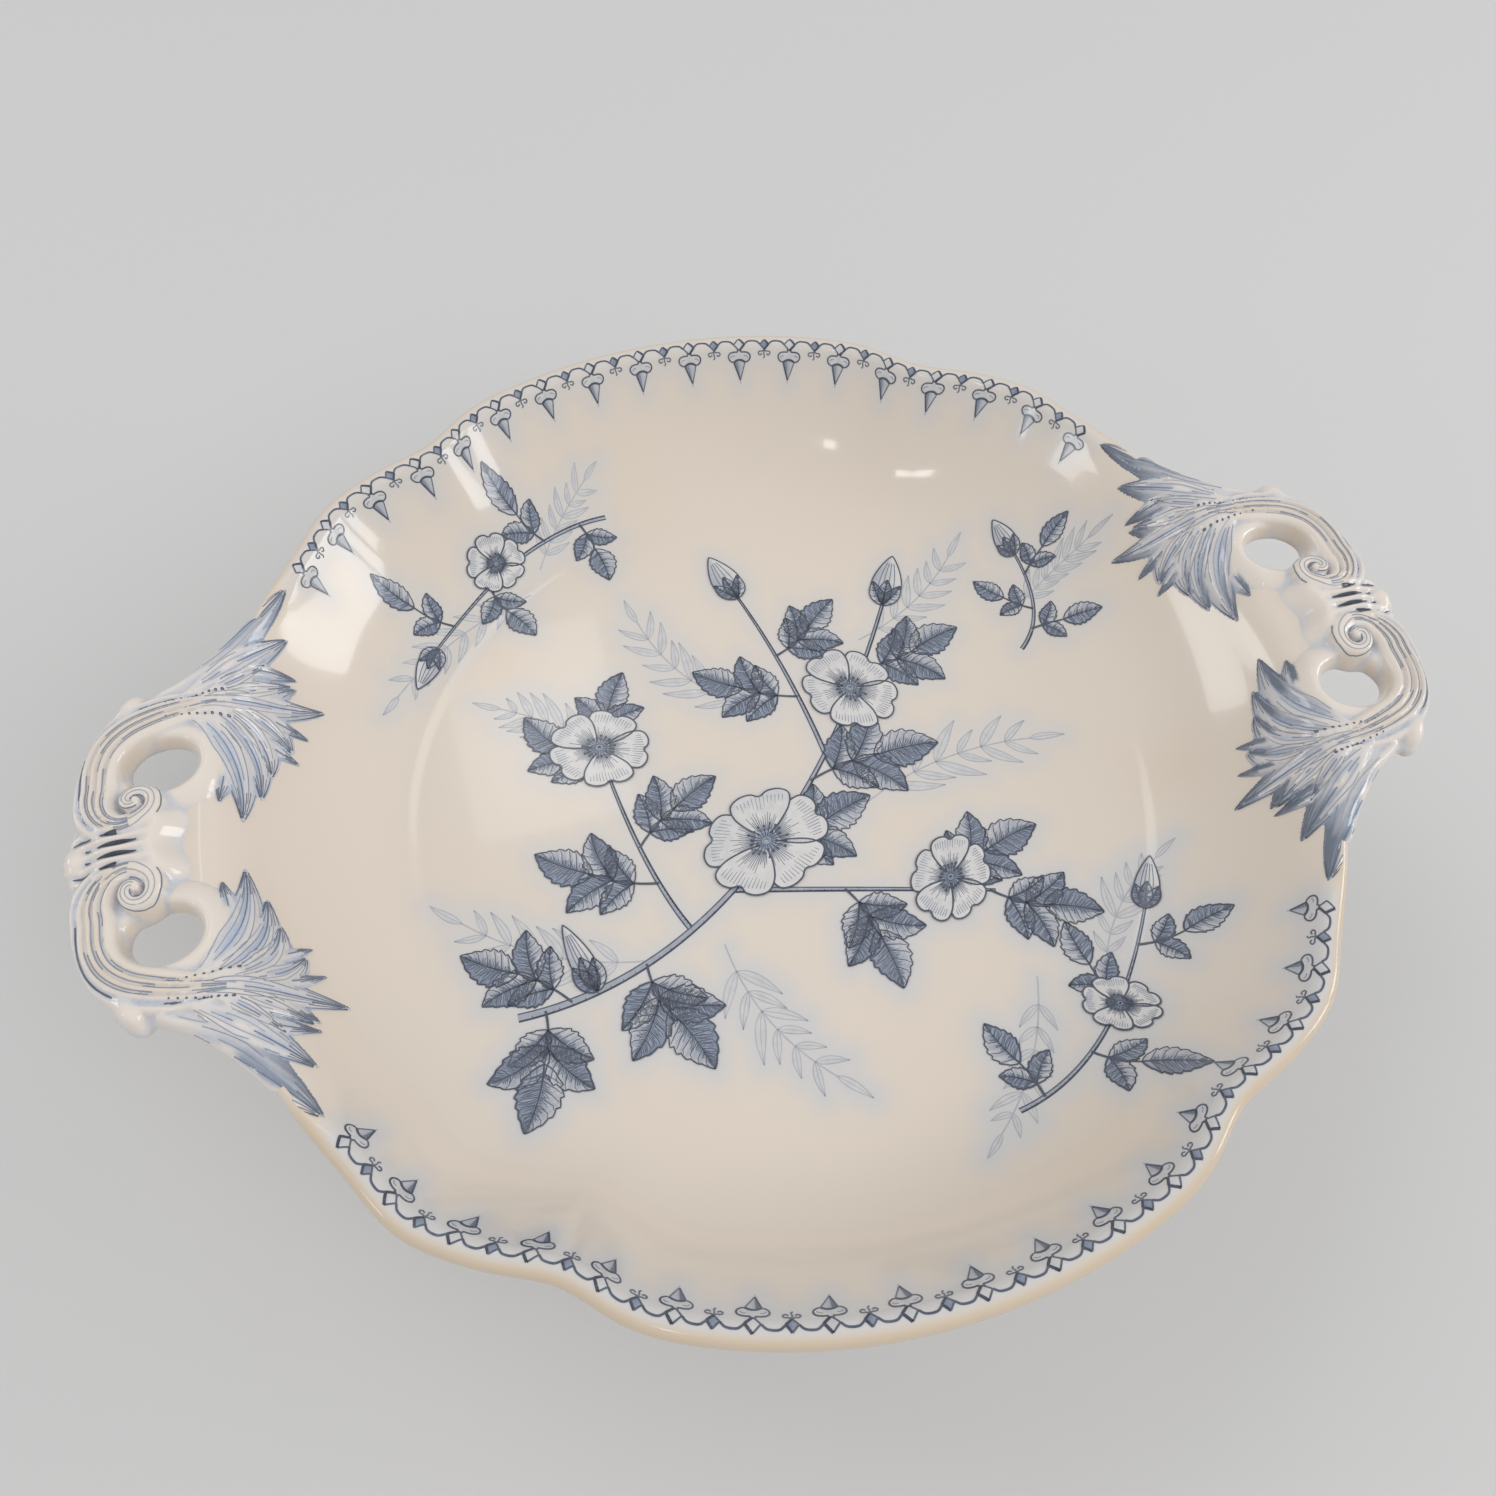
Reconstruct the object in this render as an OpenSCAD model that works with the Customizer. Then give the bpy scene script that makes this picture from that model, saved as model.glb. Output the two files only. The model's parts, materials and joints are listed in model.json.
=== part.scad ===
// Two-handled compote dish in glazed earthenware: a lobed bowl on a hollow pedestal,
// with scrolled handles and acanthus leaves.
// Millimetres. +Z is up, +X runs through the handles, and the origin is the middle of the foot, on the table.

/* [Bowl] */
// Height of the lip above the table
lip_z = 116; // [100:1:130]
// Radius of the rim over the far and near lobes
rim_r = 136.4; // [125:0.2:148]
// Depth from the lip to the edge of the flat middle
bowl_depth = 31; // [26:0.5:36]
// Radius of the flat middle
floor_r = 91; // [84:1:98]
// How far the centre dips below the edge of the flat middle
floor_dip = 1.5; // [0.5:0.1:3]
// Width of the flat lip
lip_w = 4.7; // [4:0.1:6]
// Thickness of the rounded rim
rim_t = 5; // [4:0.1:6]
// Thickness of the wall
wall_t = 5; // [4:0.1:6.5]

/* [Rim lobes] */
// Depth of the four notches between the lobes
notch_d = 3.9; // [2:0.1:6]
// Angle of the notches from the handle axis
notch_a = 57; // [53:0.5:61]
// Half width of a notch, in degrees
notch_w = 5.5; // [4:0.1:7]
// How far the four corner lobes swell past the rim radius
corner_h = 2.1; // [0:0.1:4]
// Angle of the corner lobes from the handle axis
corner_a = 43; // [42:0.5:46]
// Half width of a corner lobe, in degrees
corner_w = 5; // [3:0.1:5.5]

/* [Pedestal] */
// Radius of the collar under the bowl
collar_r = 38; // [34:0.5:44]
// Radius of the waist
waist_r = 25; // [22:0.5:28]
// Share of the stem's height at which the waist lies
waist_at = 0.5; // [0.35:0.01:0.65]
// Radius of the joint between stem and foot
joint_r = 32; // [30:0.5:36]
// Height of the foot
foot_h = 24; // [20:0.5:30]
// Radius of the foot
foot_r = 62; // [54:0.5:70]
// Height of the foot's upright edge
foot_edge_h = 6; // [4:0.1:8]
// Width of the ring that rests on the table
foot_ring_w = 9; // [7:0.1:12]
// Thickness of the pedestal's wall
pedestal_t = 6; // [5:0.1:7]

/* [Handles] */
// Reach of a handle past the rim
handle_reach = 28.6; // [27:0.2:32]
// Distance of a finger hole's centre from the handle axis
hole_y = 21.5; // [20:0.1:23]
// Radius of a finger hole
hole_r = 7.8; // [7.2:0.1:8.4]
// Width of a scroll strap
scroll_w = 10.2; // [9:0.1:11]
// Height of the scrolls above the lip
scroll_top = 5; // [4:0.1:6]
// Height of a scroll's edges above the lip
scroll_edge = 1.6; // [1:0.1:2.5]
// Depth of the handles below the lip
handle_under = 3.6; // [3:0.1:4.5]
// Flutes along a scroll
scroll_flutes = 3; // [2:1:4]
// Depth of the flutes
flute_d = 0.9; // [0.4:0.1:1.2]
// Radius of a volute
volute_r = 5.6; // [5:0.1:6]
// Height of a volute's middle above the lip
volute_top = 6.4; // [5:0.1:7.5]
// Relief of a volute's spiral
spiral_relief = 0.7; // [0.2:0.1:1]
// Turns of a volute's spiral
spiral_turns = 1.6; // [1:0.1:2.2]
// Height of the clasp's body above the lip
clasp_top = 3; // [2:0.1:4]
// Half width of the clasp's wings, at its outer end
clasp_wing = 12.6; // [11:0.1:14]
// Radius of the clasp's ribs
rib_r = 1.5; // [1:0.1:1.8]
// Ribs on the clasp
ribs = 5; // [3:2:7]
// Height of the tongue above the lip
tongue_top = 0.6; // [0.2:0.1:1.5]
// Radius of the tip bead
bead_r = 3.4; // [2.8:0.1:4]
// Radius of the shoulder knobs
knob_r = 3.2; // [2.6:0.1:3.8]
// Clearance between neighbouring pieces, filled by slip
gap = 0.2; // [0.1:0.05:0.3]

/* [Leaves] */
// Angle at which the rim leaf's outer edge leaves the rim
blade_a = 26; // [24:0.5:28]
// Angle of the rim leaf's tip
blade_tip_a = 31; // [29:0.5:33]
// Thickness of the rim leaf on the lip
blade_t = 3; // [2:0.1:4]
// Angle on the rim from which the lobes of a leaf fan spread
fan_a = 15; // [14:0.5:16]
// Distance of the fan's root outside the lip's inner edge
fan_root = 12; // [11:0.2:13]
// Length of the fan's longest lobe, from the root
fan_len = 32; // [28:0.5:36]
// Relief of the leaf fan at its ribs
fan_relief = 2; // [1:0.1:3]
// Thickness of the leaf fan at its edges
fan_edge = 0.6; // [0.4:0.1:1]
// Length of the valleys between lobes, as a share of the lobes beside them
fan_valley = 0.82; // [0.7:0.01:0.9]

/* [Hidden] */
SIDES = ["left", "right"];
HALVES = ["far", "near"];
SIDE_PIECES = ["tongue", "clasp", "tip_bead"];
HALF_PIECES = ["scroll", "volute", "knob", "rim_leaf", "leaf_fan"];

// Glaze colours
cream = "#e6ddd0";
warm_cream = "#dfd3c3";
pale_blue = "#b9c3d6";
leaf_blue = "#9aa9c4";

// Facets
bowl_segments = 120;
wall_steps = 10;
edge_steps = 5;
curve_steps = 14;
volute_segments = 36;
volute_steps = 7;
fan_rows = 6;
$fn = 96;

// Heights that follow from the sizes above
floor_z = lip_z - bowl_depth;
seat_z = floor_z - floor_dip - wall_t;
waist_z = foot_h + waist_at * (seat_z - foot_h);

// Handle layout, on the right side and its far half. The finger hole just touches the rim.
hole_x = sqrt(pow(rim_r + hole_r, 2) - pow(hole_y, 2));
scroll_r = hole_r + scroll_w;
tip_x = rim_r + handle_reach;
bead_seat_x = tip_x - 1.5 * bead_r;
volute_x = hole_x + 0.51 * hole_r;
volute_y = hole_y - 1.28 * hole_r;
clasp_in_x = volute_x - 0.9 * volute_r;
scroll_from_a = -62;
scroll_to_a = 165;
knob_a = 76;
knob_at = [hole_x, hole_y] + polar(scroll_r + 0.5 * knob_r, knob_a);
reach_all = 2 * handle_reach;

// Lobes of a leaf fan: direction from the root, and length as a share of the longest
fan_lobe_shares = [
    [31, 0.94], [42, 0.69], [53, 0.75], [64, 0.89], [82, 0.75], [101, 0.73], [122, 0.72], [139, 0.84], [151, 1]
];
fan_lobes = [for (lobe = fan_lobe_shares) [lobe[0], fan_len * lobe[1]]];
fan_from_a = 26;
fan_to_a = 157;

// An angle folded into the first quarter turn
function folded(a) = abs((a + 450) % 180 - 90);

// Radius of the rim's outer edge at an angle
function rim_at(a) =
    let (q = folded(a))
    rim_r
    - notch_d * exp(-pow((q - notch_a) / notch_w, 2))
    + corner_h * exp(-pow((q - corner_a) / corner_w, 2));

// The inside of the bowl wall, as [radius, height], for q from 0 at the flat middle to 1 at the lip
function wall_in(a, q) =
    [floor_r + (rim_at(a) - lip_w - floor_r) * q, floor_z + bowl_depth * q * q];

// Slope of the wall there
function wall_slope(a, q) = 2 * bowl_depth * q / (rim_at(a) - lip_w - floor_r);

// A point that lies a distance h off the wall, positive towards the inside
function off_wall(a, q, h) =
    let (p = wall_in(a, q), s = wall_slope(a, q), k = h / sqrt(1 + s * s))
    [p[0] - s * k, p[1] + k];

// Height of the dipping middle
function floor_at(r) = floor_z - floor_dip * (1 - pow(r / floor_r, 2));

// The bowl's section at an angle, from the inside outwards and round to the seat
function bowl_section(a) =
    let (r = rim_at(a), c = rim_t / 2)
    concat(
        [for (k = [1 / 3, 2 / 3, 1]) [floor_r * k, floor_at(floor_r * k)]],
        [for (i = [1:wall_steps]) wall_in(a, i / wall_steps)],
        [for (i = [0:edge_steps]) let (t = 90 - 180 * i / edge_steps)
            [r - c + c * cos(t), lip_z - c + c * sin(t)]],
        [for (i = [wall_steps - 2:-1:0]) off_wall(a, i / wall_steps, -wall_t)],
        [[(floor_r + collar_r) / 2, floor_at((floor_r + collar_r) / 2) - wall_t], [collar_r, seat_z]]
    );

// Faces of a skin over rings of n points, closed at both ends by a centre point
function skin_faces(rings, n) =
    let (first = rings * n, last = rings * n + 1)
    concat(
        [for (j = [0:n - 1]) [first, (j + 1) % n, j]],
        [for (i = [0:rings - 2], j = [0:n - 1], half = [0, 1])
            let (k = (j + 1) % n, p = i * n, q = p + n)
            half == 0 ? [p + j, p + k, q + k] : [p + j, q + k, q + j]],
        [for (j = [0:n - 1]) [last, (rings - 1) * n + j, (rings - 1) * n + (j + 1) % n]]
    );

// Faces of a thin plate: columns of top points, then the same columns of points underneath
function plate_faces(columns, rows) =
    let (n = columns * rows)
    concat(
        [for (c = [0:columns - 2], r = [0:rows - 2], half = [0, 1])
            let (p = c * rows + r, q = p + rows)
            half == 0 ? [p, p + 1, q + 1] : [p, q + 1, q]],
        [for (c = [0:columns - 2], r = [0:rows - 2], half = [0, 1])
            let (p = n + c * rows + r, q = p + rows)
            half == 0 ? [p, q + 1, p + 1] : [p, q, q + 1]],
        [for (c = [0:columns - 2], end = [0, rows - 1], half = [0, 1])
            let (p = c * rows + end, q = p + rows, f = end == 0)
            half == 0 ? (f ? [p, q, q + n] : [p, q + n, q]) : (f ? [p, q + n, p + n] : [p, p + n, q + n])],
        [for (r = [0:rows - 2], end = [0, columns - 1], half = [0, 1])
            let (p = end * rows + r, q = p + 1, f = end == 0)
            half == 0 ? (f ? [p, q + n, q] : [p, q, q + n]) : (f ? [p, p + n, q + n] : [p, q + n, p + n])]
    );

// A point on a curve that starts at p, pulls towards m and ends at q
function bend(p, m, q, t) = (1 - t) * (1 - t) * p + 2 * t * (1 - t) * m + t * t * q;

function polar(r, a) = [r * cos(a), r * sin(a)];

// Pieces that are made for the right side and its far half are mirrored to the others
module on_side(side) {
    mirror([side == "left" ? 1 : 0, 0, 0]) children();
}

module on_half(side, half) {
    on_side(side) mirror([0, half == "near" ? 1 : 0, 0]) children();
}

// Cutters, each larger than the piece it stands for by the clearance
module rim_cutter(from_z, to_z) {
    translate([0, 0, from_z]) cylinder(r = rim_r + gap, h = to_z - from_z, $fn = 180);
}

module volute_cutter() {
    translate([volute_x, volute_y, lip_z - reach_all / 2]) cylinder(r = volute_r + gap, h = reach_all);
}

module scroll_cutter(r) {
    translate([hole_x, hole_y, lip_z - reach_all / 2]) cylinder(r = r, h = reach_all);
}

module bowl() {
    n = bowl_segments;
    sections = [for (j = [0:n - 1]) bowl_section(360 * j / n)];
    rings = len(sections[0]);
    points = concat(
        [for (i = [0:rings - 1], j = [0:n - 1]) let (p = sections[j][i], a = 360 * j / n)
            [p[0] * cos(a), p[0] * sin(a), p[1]]],
        [[0, 0, floor_at(0)], [0, 0, seat_z]]
    );
    color(cream) polyhedron(points, skin_faces(rings, n));
}

// The stem's outside: a cavetto from the joint in to the waist and out again to the collar
function stem_r(z) =
    z < waist_z
    ? waist_r + (joint_r - waist_r) * pow((waist_z - z) / (waist_z - foot_h), 2)
    : waist_r + (collar_r - waist_r) * pow((z - waist_z) / (seat_z - waist_z), 2);

module stem() {
    heights = [for (i = [0:curve_steps]) foot_h + (seat_z - foot_h) * i / curve_steps];
    color(warm_cream) rotate_extrude() polygon(concat(
        [for (z = heights) [stem_r(z), z]],
        [for (i = [curve_steps:-1:0]) [stem_r(heights[i]) - pedestal_t, heights[i]]]
    ));
}

// The foot's outside: an ogee from its upright edge in to the joint
function foot_at(t) =
    [joint_r + (foot_r - joint_r) * pow(1 - t, 2), foot_edge_h + (foot_h - foot_edge_h) * t];

module foot() {
    steps = [for (i = [0:curve_steps]) i / curve_steps];
    hollow_r = foot_r - foot_ring_w;
    color(warm_cream) rotate_extrude() polygon(concat(
        [[hollow_r, 0], [foot_r, 0]],
        [for (t = steps) foot_at(t)],
        [for (i = [curve_steps:-1:0]) let (t = steps[i], p = foot_at(t))
            [p[0] - pedestal_t - (foot_ring_w - pedestal_t) * (1 - t), p[1] - foot_edge_h * (1 - t)]]
    ));
}

// Flat bridge between the two finger holes
module tongue() {
    half_w = hole_y - 0.8 * hole_r;
    color(cream) difference() {
        translate([0, -half_w, lip_z - handle_under])
            cube([clasp_in_x - gap, 2 * half_w, handle_under + tongue_top]);
        rim_cutter(lip_z - reach_all, lip_z + reach_all);
        for (m = [0, 1]) mirror([0, m, 0]) {
            scroll_cutter(hole_r);
            volute_cutter();
        }
    }
}

// Outline of the clasp: wings that lie along the scrolls, with a notch for the tip bead
module clasp_outline() {
    wing_x = tip_x - 0.8 * bead_r;
    notch_y = bead_r + gap;
    polygon([
        [clasp_in_x, -clasp_wing], [wing_x - 0.2 * bead_r, -clasp_wing], [wing_x, -notch_y],
        [bead_seat_x, -notch_y], [bead_seat_x, notch_y],
        [wing_x, notch_y], [wing_x - 0.2 * bead_r, clasp_wing], [clasp_in_x, clasp_wing]
    ]);
}

// Ribbed band that gathers the two scrolls
module clasp() {
    rib_step = 1.7 * rib_r;
    rib_fan = 3;
    color(pale_blue) difference() {
        translate([0, 0, lip_z - handle_under]) intersection() {
            linear_extrude(reach_all) clasp_outline();
            union() {
                translate([0, -reach_all / 2, 0]) cube([tip_x, reach_all, handle_under + clasp_top]);
                for (k = [0:ribs - 1]) let (i = k - (ribs - 1) / 2)
                    translate([clasp_in_x, i * rib_step, handle_under + clasp_top])
                        rotate([0, 90, i * rib_fan]) cylinder(r = rib_r, h = reach_all, $fn = 32);
            }
        }
        for (m = [0, 1]) mirror([0, m, 0]) {
            volute_cutter();
            scroll_cutter(scroll_r + gap);
        }
    }
}

// A round bead, turned about the upright axis
module round_bead(r) {
    rotate_extrude() polygon([for (i = [0:curve_steps]) polar(r, 180 * i / curve_steps - 90)]);
}

// Bead at the clasp's outer end
module tip_bead() {
    color(cream) intersection() {
        translate([tip_x - bead_r, 0, lip_z]) round_bead(bead_r);
        translate([bead_seat_x + gap, -reach_all / 2, lip_z - reach_all / 2]) cube(reach_all);
    }
}

// Section of a scroll strap: upright sides and a fluted crown, at its distance from the hole's axis
function scroll_section() =
    let (n = 8 * scroll_flutes, c = 0.1 * scroll_w)
    concat(
        [[scroll_r - c, -handle_under], [hole_r + c, -handle_under], [hole_r, c - handle_under]],
        [for (i = [0:n]) let (f = i / n)
            [hole_r + scroll_w * f,
             scroll_edge + (scroll_top - scroll_edge) * sin(180 * f)
             - flute_d * (0.5 - 0.5 * cos(360 * scroll_flutes * f))]],
        [[scroll_r, c - handle_under]]
    );

// Fluted C-scroll round a finger hole: it starts behind the volute and lies on the lip where it ends
module scroll() {
    color(pale_blue) difference() {
        translate([hole_x, hole_y, lip_z]) rotate(scroll_from_a)
            rotate_extrude(angle = scroll_to_a - scroll_from_a) polygon(scroll_section());
        rim_cutter(lip_z - reach_all, lip_z + gap);
        translate([0, 0, lip_z]) cylinder(r = rim_r - lip_w, h = reach_all, $fn = 180);
        volute_cutter();
        translate([0, -reach_all, lip_z - reach_all / 2]) cube([2 * tip_x, reach_all + gap, reach_all]);
    }
}

// Height of a volute's crown above the lip
function volute_at(r, a) =
    let (k = r / volute_r)
    volute_top - (volute_top - scroll_edge) * k * k
    + spiral_relief * min(1, 2 * k) * cos(360 * spiral_turns * k - a);

// Coiled end of a scroll
module volute() {
    n = volute_segments;
    radii = [for (i = [1:volute_steps]) volute_r * i / volute_steps];
    points = concat(
        [for (r = radii, j = [0:n - 1]) let (a = 360 * j / n) concat(polar(r, a), [volute_at(r, a)])],
        [for (j = [0:n - 1]) concat(polar(volute_r, 360 * j / n), [-handle_under])],
        [[0, 0, volute_at(0, 0)], [0, 0, -handle_under]]
    );
    color(cream) translate([volute_x, volute_y, lip_z]) polyhedron(points, skin_faces(volute_steps + 1, n));
}

// Bud on the outer shoulder of a scroll
module knob() {
    color(cream) difference() {
        translate(concat(knob_at, [lip_z])) round_bead(knob_r);
        scroll_cutter(scroll_r + gap);
    }
}

// Outline of the rim leaf: its outer edge bows from beside the knob to the rim, and its inner edge is the lip's
module rim_leaf_outline() {
    start = [hole_x, hole_y] + polar(scroll_r + knob_r, knob_a);
    finish = polar(rim_r, blade_a);
    pull = 0.5 * (start + finish) - polar(0.5 * blade_t, 50);
    inner_r = rim_r - lip_w + gap;
    inner_to_a = fan_a - 2;
    polygon(concat(
        [for (i = [0:curve_steps]) bend(start, pull, finish, i / curve_steps)],
        [polar(rim_r - lip_w / 2, blade_tip_a)],
        [for (i = [0:curve_steps]) polar(inner_r, blade_tip_a + (inner_to_a - blade_tip_a) * i / curve_steps)]
    ));
}

// Long acanthus blade: it lies on the lip, and its outer edge hangs over the rim
module rim_leaf() {
    color(leaf_blue) difference() {
        translate([0, 0, lip_z - handle_under]) linear_extrude(handle_under + blade_t) rim_leaf_outline();
        rim_cutter(lip_z - reach_all, lip_z + gap);
        scroll_cutter(scroll_r + gap);
        translate(concat(knob_at, [lip_z - reach_all / 2])) cylinder(r = knob_r + gap, h = reach_all);
    }
}

// Directions across a leaf fan with its reach in each, and how high the rib stands: a tip, a valley, a tip
fan_valleys = [for (i = [0:len(fan_lobes) - 2])
    let (p = fan_lobes[i], q = fan_lobes[i + 1]) [(p[0] + q[0]) / 2, fan_valley * (p[1] + q[1]) / 2]];
fan_edges = concat(
    [[fan_from_a, fan_lobes[0][1] * 0.96, 0]],
    [for (i = [0:len(fan_lobes) - 1]) each concat(
        [[fan_lobes[i][0], fan_lobes[i][1], 1]],
        i < len(fan_valleys) ? [[fan_valleys[i][0], fan_valleys[i][1], 0]] : [])],
    [[fan_to_a, fan_lobes[len(fan_lobes) - 1][1] * 0.96, 0]]
);
fan_columns = [for (i = [0:2 * (len(fan_edges) - 1)])
    let (k = floor(i / 2)) i % 2 == 0 ? fan_edges[k] : 0.5 * (fan_edges[k] + fan_edges[k + 1])];

// A point of the leaf fan at a share t of the way from the lip to the edge, a height h off the wall
function fan_point(column, t, h) =
    let (
        lip_r = rim_r - lip_w,
        reach = max(column[1], 1.08 * fan_root / sin(column[0])),
        along = (fan_root + gap) / sin(column[0]),
        d = along + (reach - along) * t,
        a = fan_a + d * cos(column[0]) / lip_r * 180 / PI,
        q = 1 - (d * sin(column[0]) - fan_root) / (lip_r - floor_r),
        p = off_wall(a, q, h)
    )
    [p[0] * cos(a), p[0] * sin(a), p[1]];

// Spread of acanthus lobes on the inside of the wall
module leaf_fan() {
    rows = fan_rows;
    top = [for (c = fan_columns, i = [0:rows - 1]) let (t = i / (rows - 1))
        fan_point(c, t, gap + fan_edge + (fan_relief - fan_edge) * (0.3 + 0.7 * c[2]) * (1 - t * t))];
    under = [for (c = fan_columns, i = [0:rows - 1]) fan_point(c, i / (rows - 1), gap)];
    color(leaf_blue) polyhedron(concat(top, under), plate_faces(len(fan_columns), rows));
}

bowl();
stem();
foot();
for (side = SIDES) {
    on_side(side) tongue();
    on_side(side) clasp();
    on_side(side) tip_bead();
    for (half = HALVES) {
        on_half(side, half) scroll();
        on_half(side, half) volute();
        on_half(side, half) knob();
        on_half(side, half) rim_leaf();
        on_half(side, half) leaf_fan();
    }
}
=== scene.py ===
"""Builds the looks of a two-handled compote dish around its packed CAD frame, laid out as an add-on."""
import json
import math
from collections import namedtuple

import bpy
import numpy as np
from bpy.props import FloatProperty, FloatVectorProperty, IntProperty, PointerProperty
from mathutils import Matrix, Vector, kdtree

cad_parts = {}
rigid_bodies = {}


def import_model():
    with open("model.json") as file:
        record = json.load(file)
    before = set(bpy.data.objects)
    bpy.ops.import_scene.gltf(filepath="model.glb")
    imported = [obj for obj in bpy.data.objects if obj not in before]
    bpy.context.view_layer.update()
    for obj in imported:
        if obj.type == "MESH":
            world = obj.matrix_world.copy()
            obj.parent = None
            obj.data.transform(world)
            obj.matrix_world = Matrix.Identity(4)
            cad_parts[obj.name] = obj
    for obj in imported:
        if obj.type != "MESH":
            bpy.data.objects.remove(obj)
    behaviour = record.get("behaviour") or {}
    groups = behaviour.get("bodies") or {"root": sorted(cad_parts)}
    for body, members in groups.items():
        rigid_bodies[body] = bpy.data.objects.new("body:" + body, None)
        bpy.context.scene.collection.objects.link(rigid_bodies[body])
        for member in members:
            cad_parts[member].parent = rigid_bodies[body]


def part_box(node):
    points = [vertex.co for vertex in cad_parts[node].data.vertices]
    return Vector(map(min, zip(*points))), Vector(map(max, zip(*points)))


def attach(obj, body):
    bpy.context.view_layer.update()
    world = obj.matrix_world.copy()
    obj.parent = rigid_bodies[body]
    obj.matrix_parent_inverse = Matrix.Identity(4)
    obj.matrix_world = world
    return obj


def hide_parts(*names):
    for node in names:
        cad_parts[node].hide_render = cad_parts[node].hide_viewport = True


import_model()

bl_info = {
    "name": "Compote dish",
    "version": (1, 0, 0),
    "blender": (4, 5, 0),
    "location": "View3D > Sidebar > Compote",
    "description": "Builds a glazed compote dish with scrolled handles and a blue print",
    "category": "Object",
}

BODY = "root"
SIDES = {"left": -1, "right": 1}
HALVES = ("far", "near")
SIDE_NODES = ("clasp", "tip_bead")
HALF_NODES = ("scroll", "volute", "knob", "rim_leaf", "leaf_fan")
PAINT = "Paint"
TONE = "Tone"
BAKE_MAP = "OFBake"
PER_METRE = 1000.0
# Keeps a division by a length of nothing safe
TINY = 1e-9


def mm(value):
    """A length in millimetres, the unit of all the shape functions below."""
    return value * PER_METRE


# Small helpers for curves and soft joints

def smoothstep(low, high, x):
    """0 below low, 1 above high and a soft ramp between."""
    t = np.clip((x - low) / (high - low), 0, 1)
    return t * t * (3 - 2 * t)


def soft_min(a, b, k):
    """The lesser of two fields, rounded over a width k where they meet."""
    h = np.clip(0.5 + 0.5 * (b - a) / k, 0, 1)
    return b + (a - b) * h - k * h * (1 - h)


def soft_max(a, b, k):
    """The greater of two fields, rounded over a width k where they meet."""
    return -soft_min(-a, -b, k)


def spline(points, step):
    """Points about a step apart on a smooth curve through rows, whose columns after x and y ride along."""
    p = np.asarray(points, float)
    padded = np.vstack([2 * p[0] - p[1], p, 2 * p[-1] - p[-2]])
    rows = []
    for i in range(1, len(padded) - 2):
        a, b, c, d = padded[i - 1:i + 3]
        n = max(2, int(np.ceil(np.linalg.norm((c - b)[:2]) / step)))
        t = np.arange(n)[:, None] / n
        square = 2 * a - 5 * b + 4 * c - d
        cube = 3 * b - a - 3 * c + d
        rows.append(0.5 * (2 * b + (c - a) * t + square * t ** 2 + cube * t ** 3))
    return np.vstack(rows + [p[-1:]])


def bend(start, pull, finish, t):
    """Points on a curve that leaves start towards pull and ends at finish."""
    start, pull, finish = (np.asarray(point, float) for point in (start, pull, finish))
    t = t[:, None]
    return (1 - t) ** 2 * start + 2 * t * (1 - t) * pull + t ** 2 * finish


def unit(v):
    """A vector of length 1."""
    return v / np.linalg.norm(v)


def unit_rows(rows):
    """Vectors in rows, each of length 1."""
    return rows / np.maximum(np.linalg.norm(rows, axis=1, keepdims=True), TINY)


def quarter_turn(v):
    """A plan vector turned to the left."""
    return np.array([-v[1], v[0]])


def bowed(base, tip, bow, count):
    """Points from base to tip on a curve that bows out to the left by a share of its length."""
    base, tip = np.asarray(base, float), np.asarray(tip, float)
    length = np.linalg.norm(tip - base)
    aside = quarter_turn(tip - base) / length
    return bend(base, (base + tip) / 2 + aside * bow * length, tip, np.linspace(0, 1, count))


def left_of(path):
    """Unit vectors to the left of a plan path."""
    d = unit_rows(np.gradient(path[:, :2], axis=0))
    return np.stack([-d[:, 1], d[:, 0]], axis=1)


def along_path(path, X, Y):
    """Share along a path of rows x, y, half width, its side in half widths, and the half width there."""
    near = np.full(X.shape, np.inf)
    share, side, width = np.zeros(X.shape), np.zeros(X.shape), np.ones(X.shape)
    n = len(path) - 1
    for i in range(n):
        x0, y0, w0 = path[i, :3]
        dx, dy, dw = path[i + 1, :3] - path[i, :3]
        t = np.clip(((X - x0) * dx + (Y - y0) * dy) / (dx * dx + dy * dy + TINY), 0, 1)
        ex, ey, w = X - x0 - t * dx, Y - y0 - t * dy, w0 + dw * t
        d = np.hypot(ex, ey) / w
        take = d < near
        near = np.where(take, d, near)
        share = np.where(take, (i + t) / n, share)
        side = np.where(take, np.where(dx * ey - dy * ex < 0, -d, d), side)
        width = np.where(take, w, width)
    return share, side, width


def draped(height, plan, step, lip_z):
    """Points of a field of heights over plan points, and the normals there, from slopes over a step."""
    x, y = plan[:, 0], plan[:, 1]
    slope_x = (height(x + step, y) - height(x - step, y)) / (2 * step)
    slope_y = (height(x, y + step) - height(x, y - step)) / (2 * step)
    normal = unit_rows(np.stack([-slope_x, -slope_y, np.ones(len(x))], axis=1))
    return np.stack([x, y, lip_z + height(x, y)], axis=1), normal


# Meshes

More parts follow.
